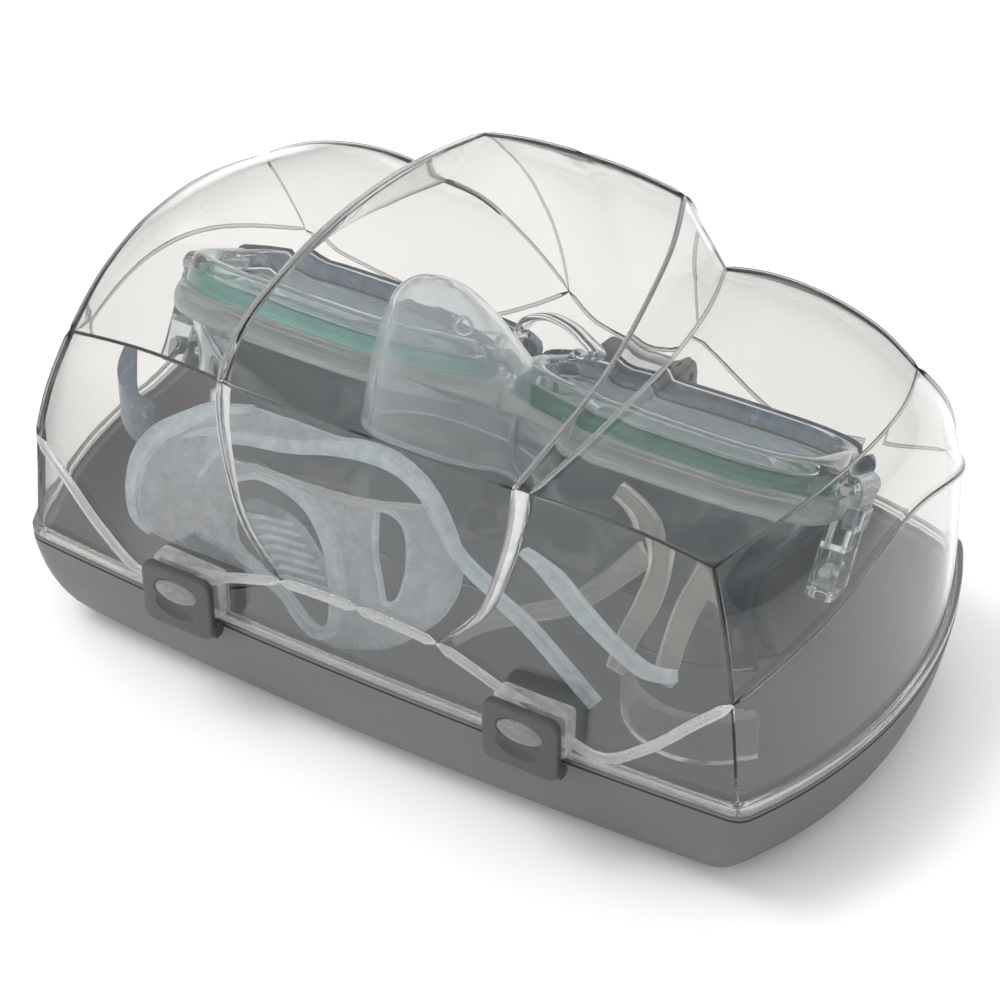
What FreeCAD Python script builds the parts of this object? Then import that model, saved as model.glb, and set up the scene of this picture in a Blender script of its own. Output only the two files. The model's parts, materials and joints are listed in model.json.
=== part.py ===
import FreeCAD, Part
import math
import os

os.makedirs("parts", exist_ok=True)

V = FreeCAD.Vector

# Storage case, overall
CASE_HALF_WIDTH = 106.2      # widest point of the bulged ends
CORNER_HALF_WIDTH = 93.0     # front corners at the rim
FRONT_CORNER_Y = -57.0
FRONT_MIDDLE_Y = -60.5       # the front wall bulges between its corners
REAR_CORNER_Y = 52.0
REAR_MIDDLE_Y = 64.0
RIM_Z = 27.0                 # height of the tray, where the lid closes
BASE_WALL = 2.2
BASE_FLOOR = 2.4
BOTTOM_INSET = 11.0          # how far the tray's wall curves in towards its floor

# Lid
LID_WALL = 1.8
FLANGE_THICK = 1.6
FLANGE_GAP = 0.2
LID_INSET = 1.2              # lid wall stands this far inside the flange edge
FRONT_EDGE_Z = 58.0          # top of the front wall above the rim
LOBE_RIDGE_Z = 68.0          # ridge of the two side lobes above the rim
HUMP_FRONT_Z = 62.0
HUMP_RIDGE_Z = 84.0          # top of the centre hump above the rim
HUMP_SIDE_SLOPE = 0.4        # how fast the hump narrows with height
HUMP_PLAN = (                # half widths of the hump at HUMP_FRONT_Z, front to back
    (34.0, -100.0), (37.0, -55.0), (43.0, -35.0), (46.0, -20.0),
    (44.0, 4.0), (37.0, 18.0), (31.5, 35.0), (31.5, 100.0),
)
RIDGE_Y = 35.0               # both ridges run along this line

# Lid hinge at the middle of the back
HINGE_Y = 68.5
HINGE_Z = RIM_Z + 9.0
KNUCKLE_R = 3.5
HINGE_PIN_R = 1.25
LUG_IN = 6.0
LUG_OUT = 12.0

# Latches
LATCH_X = 44.6
LATCH_WIDTH = 18.6
LATCH_OUTER_Y = -65.5
LATCH_THICK = 2.0
LATCH_BOTTOM_Z = RIM_Z - 2.4
LATCH_TOP_Z = RIM_Z + 13.8
LATCH_PIN_Y = -62.0
LATCH_PIN_Z = RIM_Z - 1.2
LATCH_PIN_R = 0.7
LATCH_EAR_R = 1.5
LATCH_LUG_R = 1.3
LATCH_EAR_IN = 6.0
OVAL_X = 5.6                 # half width of the oval button
OVAL_Z = 2.7
OVAL_CENTRE_Z = RIM_Z + 8.0

# Mask, in its own frame: x along its width, y towards the forehead, z out through the lenses
MASK_CENTRE = V(0.0, 6.8, RIM_Z + 38.0)
MASK_TILT = -29.0            # the forehead side lies lower
MASK_YAW = 5.0
MASK_ROLL = 3.0              # the right end lies a little lower
LOBE_X = 41.0                # centre of each lens
LOBE_HALF_W = 37.0
LOBE_HALF_H = 30.0
LOBE_CORNER_R = 22.0
FRAME_THICK = 8.0
FRAME_LIP = 5.0              # frame width round each lens
LENS_LEDGE = 2.0             # depth and width of the step that holds a lens
LENS_THICK = 3.0
SKIRT_WALL = 2.0
SKIRT_DEPTH = 44.0
FIT = 0.05                   # radial clearance of a running fit

# Strap buckles at the ends of the mask frame
PIVOT_X = LOBE_X + LOBE_HALF_W + 4.6
PIVOT_Z = 3.0
EAR_Y = 9.5
EAR_THICK = 3.0
PIN_R = 1.0
BUCKLE_HALF_W = 7.7
BUCKLE_LENGTH = 25.0
BUCKLE_THICK = 6.4
ROLLER_Z = -16.0
ROLLER_R = 1.5
BUTTON_TRAVEL = 1.2
BUTTON_PROUD = 0.05          # left standing out when the button is pressed

# Head strap, folded in front of the mask
STRAP_THICK = 2.4
STRAP_LEFT = -76.0
STRAP_RIGHT = 42.0
STRAP_HALF_H = 21.0
STRAP_CENTRE_Y = -44.6
STRAP_CENTRE_Z = RIM_Z + 4.0
STRAP_LEAN = 70.0            # slope of the folded strap, degrees from flat

# Everything is moved so that the origin is under the middle of the whole object
REAR_EXTREME_Y = HINGE_Y + KNUCKLE_R
FRONT_EXTREME_Y = LATCH_OUTER_Y - 1.2
SHIFT_Y = -(REAR_EXTREME_Y + FRONT_EXTREME_Y) / 2.0


def save(name, shape):
    """Writes one node, moved so that the origin is under the middle of the object."""
    shape = shape.copy()
    shape.translate(V(0, SHIFT_Y, 0))
    shape.exportStep("parts/%s.step" % name)


def box(x0, x1, y0, y1, z0, z1):
    return Part.makeBox(x1 - x0, y1 - y0, z1 - z0, V(x0, y0, z0))


def rod_x(radius, x0, x1, y, z):
    return Part.makeCylinder(radius, x1 - x0, V(x0, y, z), V(1, 0, 0))


def arc(a, middle, b):
    return Part.Arc(V(*a), V(*middle), V(*b)).toShape()


def extrude_x(points, half):
    """A closed side-view outline of (y, z) points, extruded both ways along x."""
    wire = Part.makePolygon([V(-half, y, z) for y, z in points + points[:1]])
    return Part.Face(wire).extrude(V(2 * half, 0, 0))


def outline(corner_x, side_x, front_corner, front_mid, rear_corner, rear_mid, z):
    """Plan outline of four arcs: front, right end, back and left end."""
    mid_y = (front_corner + rear_corner) / 2.0 + 8.0
    f_l = (-corner_x, front_corner, z)
    f_r = (corner_x, front_corner, z)
    r_r = (corner_x, rear_corner, z)
    r_l = (-corner_x, rear_corner, z)
    edges = [
        arc(f_l, (0, front_mid, z), f_r),
        arc(f_r, (side_x, mid_y, z), r_r),
        arc(r_r, (0, rear_mid, z), r_l),
        arc(r_l, (-side_x, mid_y, z), f_l),
    ]
    return Part.Wire(edges)


def rim_outline(inset, z):
    return outline(
        CORNER_HALF_WIDTH - inset,
        CASE_HALF_WIDTH - inset,
        FRONT_CORNER_Y + inset,
        FRONT_MIDDLE_Y + inset,
        REAR_CORNER_Y - inset,
        REAR_MIDDLE_Y - inset,
        z,
    )


def loft(wires, ruled=True):
    return Part.makeLoft(wires, True, ruled)


def tray_solid(inset, bottom):
    """Tray hull with walls that curve in towards the floor."""
    steps = [(0.0, 1.0), (0.16, 0.62), (0.42, 0.28), (0.72, 0.08), (1.0, 0.0)]
    wires = []
    for height, pull in steps:
        z = bottom + height * (RIM_Z - bottom)
        wires.append(rim_outline(inset + pull * BOTTOM_INSET, z))
    return loft(wires)


def make_base():
    hull = tray_solid(0.0, 0.0)
    hollow = tray_solid(BASE_WALL, BASE_FLOOR)
    cap = loft([rim_outline(BASE_WALL, RIM_Z), rim_outline(BASE_WALL, RIM_Z + 3)])
    base = hull.cut(hollow).cut(cap)
    for side in (-1, 1):
        x0, x1 = sorted((side * LUG_IN, side * LUG_OUT))
        lug = box(x0, x1, REAR_MIDDLE_Y - 1.8, HINGE_Y + KNUCKLE_R, RIM_Z - 12, HINGE_Z)
        lug = lug.fuse(rod_x(KNUCKLE_R, x0, x1, HINGE_Y, HINGE_Z))
        front = HINGE_Y - KNUCKLE_R
        lug = lug.cut(box(x0 - 1, x1 + 1, 0, front, RIM_Z, HINGE_Z + 9))
        foot = [(REAR_MIDDLE_Y - 1, RIM_Z - 12), (HINGE_Y + 6, RIM_Z - 12), (HINGE_Y + 6, RIM_Z)]
        lug = lug.cut(extrude_x(foot, 40))
        base = base.fuse(lug)
        tongue_x = side * LATCH_X
        x0, x1 = tongue_x - LATCH_EAR_IN + 0.3, tongue_x + LATCH_EAR_IN - 0.3
        z0, z1 = LATCH_PIN_Z - LATCH_LUG_R, LATCH_PIN_Z + LATCH_LUG_R
        tongue = box(x0, x1, LATCH_PIN_Y, FRONT_MIDDLE_Y + 2.0, z0, z1 - 0.4)
        tongue = tongue.fuse(rod_x(LATCH_LUG_R, x0, x1, LATCH_PIN_Y, LATCH_PIN_Z))
        base = base.fuse(tongue)
        hole = rod_x(LATCH_PIN_R, x0 - 1, x1 + 1, LATCH_PIN_Y, LATCH_PIN_Z)
        base = base.cut(hole)
    base = base.cut(hollow).cut(rod_x(HINGE_PIN_R, -20, 20, HINGE_Y, HINGE_Z))
    return base.removeSplitter()


def lid_envelope(t):
    """Outer form of the lid without its centre hump; t moves every face inwards."""
    inset = LID_INSET + t
    low = outline(
        CORNER_HALF_WIDTH - inset,
        CASE_HALF_WIDTH - inset,
        FRONT_CORNER_Y + inset,
        FRONT_MIDDLE_Y + inset,
        REAR_CORNER_Y - inset,
        REAR_MIDDLE_Y - inset,
        RIM_Z - 4,
    )
    high = outline(
        80.5 - t, 82.5 - t, -53.5 + t, -56.0 + t, 38.0 - t, 50.0 - t, RIM_Z + 95
    )
    band = loft([low, high])
    low = outline(98.0 - t, 110.0 - t, -80, -84, 60.0 - t, 68.5 - t, RIM_Z - 4)
    high = outline(63.0 - t, 72.5 - t, -80, -84, 22.0 - t, 34.5 - t, RIM_Z + 95)
    upper = loft([low, high])
    return band.common(upper)


def front_cut(t):
    """What the leaning front wall removes: two shallow valleys at the latches."""
    rows = []
    for z in (-5.0, 100.0):
        lean = 0.18 * z + t
        points = [(-112, -62.7), (-60, -58.6), (-20, -62.0), (20, -62.0), (60, -58.6), (112, -62.7)]
        ring = [V(x, y + lean, RIM_Z + z) for x, y in points]
        ring += [V(112, -95, RIM_Z + z), V(-112, -95, RIM_Z + z)]
        rows.append(Part.makePolygon(ring + ring[:1]))
    return loft(rows)


def roof_side_view(front_y, front_z, middle, ridge, back, t):
    """Side view of a roof: front edge, arc to the ridge, arc down the back."""
    z0 = RIM_Z - t
    a = V(-130, front_y + t, z0 + front_z)
    m = V(-130, middle[0], z0 + middle[1])
    r = V(-130, ridge[0], z0 + ridge[1])
    b = V(-130, back[0][0] - t, z0 + back[0][1])
    e = V(-130, back[1][0] - t, z0 + back[1][1])
    floor_z = RIM_Z - 6
    edges = [
        Part.Arc(a, m, r).toShape(),
        Part.Arc(r, b, e).toShape(),
        Part.LineSegment(e, V(-130, e.y, floor_z)).toShape(),
        Part.LineSegment(V(-130, e.y, floor_z), V(-130, -95, floor_z)).toShape(),
        Part.LineSegment(V(-130, -95, floor_z), V(-130, -95, a.z)).toShape(),
        Part.LineSegment(V(-130, -95, a.z), a).toShape(),
    ]
    return Part.Face(Part.Wire(edges)).extrude(V(260, 0, 0))


def roof_front_view(t):
    """Front view of the roof: each end rises in an arc from the end wall to the middle."""
    z0 = RIM_Z - t
    floor_z = RIM_Z - 6
    mid = V(0, -100, z0 + LOBE_RIDGE_Z + 1.5)
    edges = []
    for side in (-1, 1):
        end = V(side * 94, -100, z0 + 52.0)
        knee = V(side * 58, -100, z0 + LOBE_RIDGE_Z - 0.5)
        edges.append(Part.Arc(end, knee, mid).toShape())
        edges.append(Part.LineSegment(end, V(side * 130, -100, z0 + 26.0)).toShape())
        edges.append(Part.LineSegment(V(side * 130, -100, z0 + 26.0), V(side * 130, -100, floor_z)).toShape())
    edges.append(Part.LineSegment(V(-130, -100, floor_z), V(130, -100, floor_z)).toShape())
    wire = Part.Wire(Part.__sortEdges__(edges))
    return Part.Face(wire).extrude(V(0, 200, 0))


def hump(t):
    """Centre panel and hump, from the front arch over the ridge to the hinge."""
    z0 = RIM_Z - t
    half = [(19, RIM_Z + 14), (29, RIM_Z + 28), (35, RIM_Z + 46), (37, z0 + HUMP_FRONT_Z)]
    half += [(46, z0 + HUMP_FRONT_Z + 4), (46, RIM_Z + 100)]
    front = [(x - t, z) for x, z in half] + [(t - x, z) for x, z in reversed(half)]
    wire = Part.makePolygon([V(x, -100, z) for x, z in front + front[:1]])
    view = Part.Face(wire).extrude(V(0, 200, 0))
    rows = []
    for z in (0.0, 100.0):
        shrink = HUMP_SIDE_SLOPE * (z - HUMP_FRONT_Z) + t
        ring = [V(x - shrink, y, RIM_Z + z) for x, y in HUMP_PLAN]
        ring += [V(shrink - x, y, RIM_Z + z) for x, y in reversed(HUMP_PLAN)]
        rows.append(Part.makePolygon(ring + ring[:1]))
    wedge = loft(rows)
    side = roof_side_view(
        -55.0, HUMP_FRONT_Z, (-12.0, 78.0), (RIDGE_Y, HUMP_RIDGE_Z), ((50.0, 66.0), (57.0, 40.0)), t
    )
    panel = [(-95, -5), (-95, 100), (-51.2 + t, 100), (-61.7 + t, -5)]
    leaning = extrude_x([(y, RIM_Z + z) for y, z in panel], 130)
    crown = Part.makeCylinder(125, 200, V(0, -100, z0 + HUMP_RIDGE_Z - 125), V(0, 1, 0))
    body = view.common(wedge).common(side).cut(leaning).common(crown)
    narrow = [(-40, 100), (40, 100), (28 - t, 66), (7 - t, 18), (-7 + t, 18), (-28 + t, 66)]
    wire = Part.makePolygon([V(x, RIDGE_Y, RIM_Z + z) for x, z in narrow + narrow[:1]])
    tail_view = Part.Face(wire).extrude(V(0, 100, 0))
    ahead = body.common(box(-130, 130, -100, RIDGE_Y, RIM_Z - 10, RIM_Z + 110))
    behind = body.common(tail_view)
    return ahead.fuse(behind)


def lid_solid(t):
    roof = roof_side_view(
        -50.0, FRONT_EDGE_Z, (-8.0, 65.6), (RIDGE_Y, LOBE_RIDGE_Z), ((52.0, 52.0), (61.0, 24.0)), t
    )
    main = lid_envelope(t).common(roof).common(roof_front_view(t)).cut(front_cut(t))
    return main.fuse(hump(t).common(lid_envelope(t)))


def make_lid():
    floor_z = RIM_Z + FLANGE_GAP
    below = box(-140, 140, -120, 120, -10, floor_z)
    shell = lid_solid(0.0).cut(below)
    flange = Part.Face(rim_outline(0.0, floor_z)).extrude(V(0, 0, FLANGE_THICK))
    lid = shell.fuse(flange)
    for side in (-1, 1):
        x = side * LATCH_X
        lug = box(x - 8.6, x + 8.6, -61.4, -54.0, floor_z + 1.0, LATCH_TOP_Z - 2.2)
        lid = lid.fuse(lug)
    x0, x1 = -LUG_IN + 0.3, LUG_IN - 0.3
    arm = box(x0, x1, REAR_MIDDLE_Y - 8.0, HINGE_Y, HINGE_Z - KNUCKLE_R, HINGE_Z + KNUCKLE_R)
    lid = lid.fuse(arm).fuse(rod_x(KNUCKLE_R, x0, x1, HINGE_Y, HINGE_Z))
    lid = lid.cut(lid_solid(LID_WALL))
    lug_room = LUG_OUT + 0.6
    lid = lid.cut(box(-lug_room, lug_room, REAR_MIDDLE_Y - 2.6, 90, 0, floor_z + FLANGE_THICK + 0.1))
    lid = lid.cut(rod_x(HINGE_PIN_R + FIT, -20, 20, HINGE_Y, HINGE_Z))
    return lid.removeSplitter()


def oval(x, grow, y0, y1):
    """An oval prism through the latch plate, centred on x."""
    a, b = OVAL_X + grow, OVAL_Z + grow
    ellipse = Part.Ellipse(V(0, 0, 0), a, b)
    face = Part.Face(Part.Wire([ellipse.toShape()]))
    face.rotate(V(0, 0, 0), V(1, 0, 0), 90)
    face.translate(V(x, y1, OVAL_CENTRE_Z))
    return face.extrude(V(0, y0 - y1, 0))


def make_latch(side):
    x = side * LATCH_X
    x0, x1 = x - LATCH_WIDTH / 2, x + LATCH_WIDTH / 2
    inner_y = LATCH_OUTER_Y + LATCH_THICK
    plate = box(x0, x1, LATCH_OUTER_Y, inner_y, LATCH_BOTTOM_Z, LATCH_TOP_Z)
    corners = [e for e in plate.Edges if abs(e.tangentAt(e.FirstParameter).y) > 0.9]
    plate = plate.makeFillet(2.2, corners)
    hood = box(x0, x1, inner_y, inner_y + 1.0, LATCH_TOP_Z - 1.8, LATCH_TOP_Z)
    plate = plate.fuse(hood)
    plate = plate.cut(oval(x, 0.0, LATCH_OUTER_Y - 1, inner_y + 1))
    scoop = Part.makeSphere(9.0, V(x, LATCH_OUTER_Y - 8.2, OVAL_CENTRE_Z - 5.2))
    plate = plate.cut(scoop)
    for end in (-1, 1):
        e0, e1 = sorted((x + end * LATCH_EAR_IN, x + end * LATCH_WIDTH / 2))
        ear = box(e0, e1, inner_y, LATCH_PIN_Y, LATCH_PIN_Z - LATCH_EAR_R, LATCH_PIN_Z + LATCH_EAR_R)
        plate = plate.fuse(ear).fuse(rod_x(LATCH_EAR_R, e0, e1, LATCH_PIN_Y, LATCH_PIN_Z))
    plate = plate.cut(rod_x(LATCH_PIN_R + FIT, x0 - 1, x1 + 1, LATCH_PIN_Y, LATCH_PIN_Z))
    return plate.removeSplitter()


def make_latch_button(side):
    x = side * LATCH_X
    inner_y = LATCH_OUTER_Y + LATCH_THICK
    stem = oval(x, 0.0, LATCH_OUTER_Y - 0.6, inner_y)
    dome = oval(x, -0.7, LATCH_OUTER_Y - 1.2, LATCH_OUTER_Y - 0.6)
    return stem.fuse(dome).removeSplitter()


def make_latch_pin(side):
    x = side * LATCH_X
    half = LATCH_WIDTH / 2 - 0.2
    return rod_x(LATCH_PIN_R, x - half, x + half, LATCH_PIN_Y, LATCH_PIN_Z)


# ---- diving mask ----

def place(shape):
    """From the mask's own frame to where it lies in the case."""
    shape = shape.copy()
    shape.rotate(V(0, 0, 0), V(0, 1, 0), MASK_ROLL)
    shape.rotate(V(0, 0, 0), V(1, 0, 0), MASK_TILT)
    shape.rotate(V(0, 0, 0), V(0, 0, 1), MASK_YAW)
    shape.translate(MASK_CENTRE)
    return shape


def rounded(x0, x1, y0, y1, radius, z0, z1):
    """A prism with rounded upright corners."""
    solid = box(x0, x1, y0, y1, z0, z1)
    upright = [e for e in solid.Edges if abs(e.tangentAt(e.FirstParameter).z) > 0.9]
    return solid.makeFillet(radius, upright)


def section(half_w, front, rear, radius, z):
    """A rounded rectangle as a wire at height z."""
    solid = rounded(-half_w, half_w, -front, rear, radius, z, z + 1)
    bottom = [f for f in solid.Faces if abs(f.CenterOfMass.z - z) < 1e-6][0]
    return bottom.OuterWire


def nose_pocket(t):
    """Nose pocket that stands up between the lenses; t moves its walls inwards."""
    root = section(13 - t, 23 - t, 4 - t, 8 - t, -28)
    base = section(17 - t, 37 - t, 3 - t, 9 - t, -8)
    middle = section(15 - t, 39 - t, -9 - t, 9 - t, 8)
    top = section(7.5 - t, 36 - t, -22 - t, 6 - t, 19 - t)
    return loft([root, base, middle, top])


def lobes(grow, z0, z1):
    """Both lens pockets and the bridge between them as one prism."""
    half_w, half_h = LOBE_HALF_W + grow, LOBE_HALF_H + grow
    out = box(-16, 16, 7 - grow, 21 + grow, z0, z1)
    for side in (-1, 1):
        x = side * LOBE_X
        out = out.fuse(rounded(x - half_w, x + half_w, -half_h, half_h, LOBE_CORNER_R + grow, z0, z1))
    return out.removeSplitter()


def window(side, grow, z0, z1):
    """Lens opening of one eye, cut back where the nose pocket passes."""
    half_w = LOBE_HALF_W - FRAME_LIP + grow
    half_h = LOBE_HALF_H - FRAME_LIP + grow
    x = side * LOBE_X
    radius = LOBE_CORNER_R - FRAME_LIP + grow
    pane = rounded(x - half_w, x + half_w, -half_h, half_h, radius, z0, z1)
    return pane.cut(nose_pocket(grow - FRAME_LIP))


def make_frame():
    body = lobes(0.0, 0.0, FRAME_THICK).cut(nose_pocket(0.0))
    for side in (-1, 1):
        body = body.cut(window(side, 0.0, -1, FRAME_THICK + 1))
        body = body.cut(window(side, LENS_LEDGE, LENS_LEDGE, FRAME_THICK + 1))
        x0, x1 = sorted((side * (PIVOT_X - 6.0), side * PIVOT_X))
        for y in (-EAR_Y, EAR_Y):
            y0 = y - EAR_THICK / 2
            ear = box(x0, x1, y0, y0 + EAR_THICK, 0.0, 6.0)
            tip = Part.makeCylinder(3.0, EAR_THICK, V(side * PIVOT_X, y0, PIVOT_Z), V(0, 1, 0))
            body = body.fuse(ear).fuse(tip)
        body = body.cut(Part.makeCylinder(PIN_R, 30, V(side * PIVOT_X, -15, PIVOT_Z), V(0, 1, 0)))
    return place(body.removeSplitter())


def make_lens(side):
    return place(window(side, LENS_LEDGE, LENS_LEDGE, LENS_LEDGE + LENS_THICK))


def make_retainer(side):
    ring = window(side, LENS_LEDGE, LENS_LEDGE + LENS_THICK, FRAME_THICK + 0.8)
    return place(ring.cut(window(side, -0.8, 0, FRAME_THICK + 2)))


def make_brow_trim():
    """Soft dark trim along the forehead side of the frame."""
    band = lobes(2.2, 0.0, 6.5).cut(lobes(0.0, -1.0, 7.5))
    return place(band.common(box(-PIVOT_X + 9, PIVOT_X - 9, 12.5, 60, -1, 8)))


def make_bridge_clip():
    """Arched clip over the bridge of the frame."""
    arch = Part.makeCylinder(6.8, 9.0, V(0, 9.5, FRAME_THICK), V(0, 1, 0))
    arch = arch.cut(Part.makeCylinder(4.8, 11.0, V(0, 8.5, FRAME_THICK), V(0, 1, 0)))
    return place(arch.common(box(-8, 8, 8, 20, FRAME_THICK, FRAME_THICK + 8)))


def skirt_shell(t):
    """Outer form of the skirt, from the frame down to the face seal."""
    reach = LOBE_X + LOBE_HALF_W
    rim = section(reach - 2 - t, 27 - t, 27 - t, 18 - t, 0)
    waist = section(reach - 10 - t, 24 - t, 25 - t, 18 - t, -22)
    face = section(reach - 6 - t, 20 - t, 33 - t, 18 - t, -SKIRT_DEPTH)
    return loft([rim, waist, face])


def make_skirt():
    body = skirt_shell(0.0).fuse(nose_pocket(0.0))
    inside = skirt_shell(SKIRT_WALL)
    body = body.cut(inside.common(box(-150, 150, -150, 150, -SKIRT_DEPTH - 5, -SKIRT_WALL)))
    body = body.cut(nose_pocket(SKIRT_WALL))
    for side in (-1, 1):
        body = body.cut(window(side, -1.0, -10, 5))
    return place(body.removeSplitter())


# ---- strap buckles, in the mask's own frame ----

def make_buckle(side):
    """Swivel buckle with a window for the strap's roller and a pocket for its button."""
    x = side * PIVOT_X
    half = BUCKLE_THICK / 2
    top, bottom = PIVOT_Z, PIVOT_Z - BUCKLE_LENGTH
    body = rounded(-half, half, -BUCKLE_HALF_W, BUCKLE_HALF_W, 2.0, bottom, top)
    barrel = Part.makeCylinder(half, 2 * BUCKLE_HALF_W, V(0, -BUCKLE_HALF_W, PIVOT_Z), V(0, 1, 0))
    body = body.common(box(-half, half, -20, 20, bottom, top)).fuse(barrel)
    slot = BUCKLE_HALF_W - 2.2
    body = body.cut(box(-9, 9, -slot, slot, bottom + 2.4, ROLLER_Z + 5.0))
    pocket = box(0.2, half + 1, -4.0 - FIT, 4.0 + FIT, PIVOT_Z - 9.0 - FIT, PIVOT_Z - 4.0 + FIT)
    if side < 0:
        pocket = pocket.mirror(V(0, 0, 0), V(1, 0, 0))
    body = body.cut(pocket)
    body.translate(V(x, 0, 0))
    body = body.cut(Part.makeCylinder(PIN_R + FIT, 40, V(x, -20, PIVOT_Z), V(0, 1, 0)))
    bore = Part.makeCylinder(ROLLER_R - 0.5, 2 * BUCKLE_HALF_W, V(x, -BUCKLE_HALF_W, ROLLER_Z), V(0, 1, 0))
    return place(body.cut(bore).removeSplitter())


def make_buckle_button(side):
    """Release button; at rest it stands proud by its travel."""
    half = BUCKLE_THICK / 2
    x0, x1 = 0.3 + BUTTON_TRAVEL, half + BUTTON_TRAVEL + BUTTON_PROUD
    pad = rounded(x0, x1, -4.0, 4.0, 1.0, PIVOT_Z - 9.0, PIVOT_Z - 4.0)
    if side < 0:
        pad = pad.mirror(V(0, 0, 0), V(1, 0, 0))
    pad.translate(V(side * PIVOT_X, 0, 0))
    return place(pad)


def make_buckle_roller(side):
    """Stepped bar across the buckle; the strap runs round its thicker middle."""
    x = side * PIVOT_X
    slot = BUCKLE_HALF_W - 2.3
    ends = Part.makeCylinder(ROLLER_R - 0.5, 2 * BUCKLE_HALF_W, V(x, -BUCKLE_HALF_W, ROLLER_Z), V(0, 1, 0))
    middle = Part.makeCylinder(ROLLER_R, 2 * slot, V(x, -slot, ROLLER_Z), V(0, 1, 0))
    return place(ends.fuse(middle).removeSplitter())


def make_buckle_pin(side):
    reach = EAR_Y + EAR_THICK / 2
    return place(Part.makeCylinder(PIN_R, 2 * reach, V(side * PIVOT_X, -reach, PIVOT_Z), V(0, 1, 0)))


# ---- head strap ----

def make_strap_band():
    """Split band of the head strap, laid as one leaning loop in front of the mask."""
    half_t = STRAP_THICK / 2
    band = rounded(STRAP_LEFT, STRAP_RIGHT, -STRAP_HALF_H, STRAP_HALF_H, STRAP_HALF_H - 1, -half_t, half_t)
    split = rounded(STRAP_LEFT + 34, STRAP_RIGHT - 16, -9.0, 9.0, 8.5, -5, 5)
    band = band.cut(split)
    band.rotate(V(0, 0, 0), V(1, 0, 0), STRAP_LEAN)
    band.translate(V(0, STRAP_CENTRE_Y, STRAP_CENTRE_Z))
    return band


def curved_strip(cx, cy, radius, first, last, z0, z1):
    """A strap end on edge that follows an arc in plan; angles in degrees."""
    ring = Part.makeCylinder(radius + STRAP_THICK / 2, z1 - z0, V(cx, cy, z0), V(0, 0, 1), last - first)
    ring = ring.cut(Part.makeCylinder(radius - STRAP_THICK / 2, z1 - z0, V(cx, cy, z0)))
    ring.rotate(V(cx, cy, 0), V(0, 0, 1), first)
    return ring


if __name__ == "__main__":
    save("case_base", make_base())
    save("case_lid", make_lid())
    save("hinge_pin", rod_x(HINGE_PIN_R, -LUG_OUT, LUG_OUT, HINGE_Y, HINGE_Z))
    for side, word in ((-1, "left"), (1, "right")):
        save("latch_plate_" + word, make_latch(side))
        save("latch_button_" + word, make_latch_button(side))
        save("latch_pin_" + word, make_latch_pin(side))
        save("lens_" + word, make_lens(side))
        save("lens_retainer_" + word, make_retainer(side))
        save("buckle_" + word, make_buckle(side))
        save("buckle_button_" + word, make_buckle_button(side))
        save("buckle_roller_" + word, make_buckle_roller(side))
        save("buckle_pin_" + word, make_buckle_pin(side))
    save("mask_frame", make_frame())
    save("mask_skirt", make_skirt())
    save("brow_trim", make_brow_trim())
    save("bridge_clip", make_bridge_clip())
    save("head_strap_band", make_strap_band())
    save("strap_end_left", curved_strip(-69.0, -16.0, 20.0, 192.0, 265.0, RIM_Z + 20.0, RIM_Z + 32.0))
    save("strap_end_right", curved_strip(66.0, -20.0, 18.0, 200.0, 330.0, RIM_Z - 8.0, RIM_Z + 4.0))
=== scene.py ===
import json
import math

import bmesh
import bpy
import numpy as np
from mathutils import Matrix, Vector


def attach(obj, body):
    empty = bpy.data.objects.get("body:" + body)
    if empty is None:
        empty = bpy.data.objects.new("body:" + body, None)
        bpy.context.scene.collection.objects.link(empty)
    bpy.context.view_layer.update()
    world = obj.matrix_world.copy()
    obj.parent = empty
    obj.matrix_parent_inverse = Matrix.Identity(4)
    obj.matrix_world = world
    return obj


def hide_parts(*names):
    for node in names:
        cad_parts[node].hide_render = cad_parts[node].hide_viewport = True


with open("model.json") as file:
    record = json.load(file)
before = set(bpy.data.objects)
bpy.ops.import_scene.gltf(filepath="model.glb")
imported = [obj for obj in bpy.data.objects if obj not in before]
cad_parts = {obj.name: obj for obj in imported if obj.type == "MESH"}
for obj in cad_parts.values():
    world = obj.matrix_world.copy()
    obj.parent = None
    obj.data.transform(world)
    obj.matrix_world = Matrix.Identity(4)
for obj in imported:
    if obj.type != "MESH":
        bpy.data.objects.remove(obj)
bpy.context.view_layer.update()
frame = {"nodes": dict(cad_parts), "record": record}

# All lengths below are in millimetres in the case's own frame: x along the case, y from the latches to
# the hinge, z up from the rim. to_row() turns them into metres in the row frame.
RIM_Z = 27.0
SHIFT_Y = -2.65
MM = 0.001
BULGE_X = 106.2              # half the length at the middle of the bulged ends

# ---------------------------------------------------------------- helpers


def to_row(points):
    """Case millimetres to row metres, for one point or an array of them."""
    return (np.asarray(points, float) + (0.0, SHIFT_Y, RIM_Z)) * MM


def row_vector(x, y, z):
    return Vector(to_row((x, y, z)))


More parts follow.
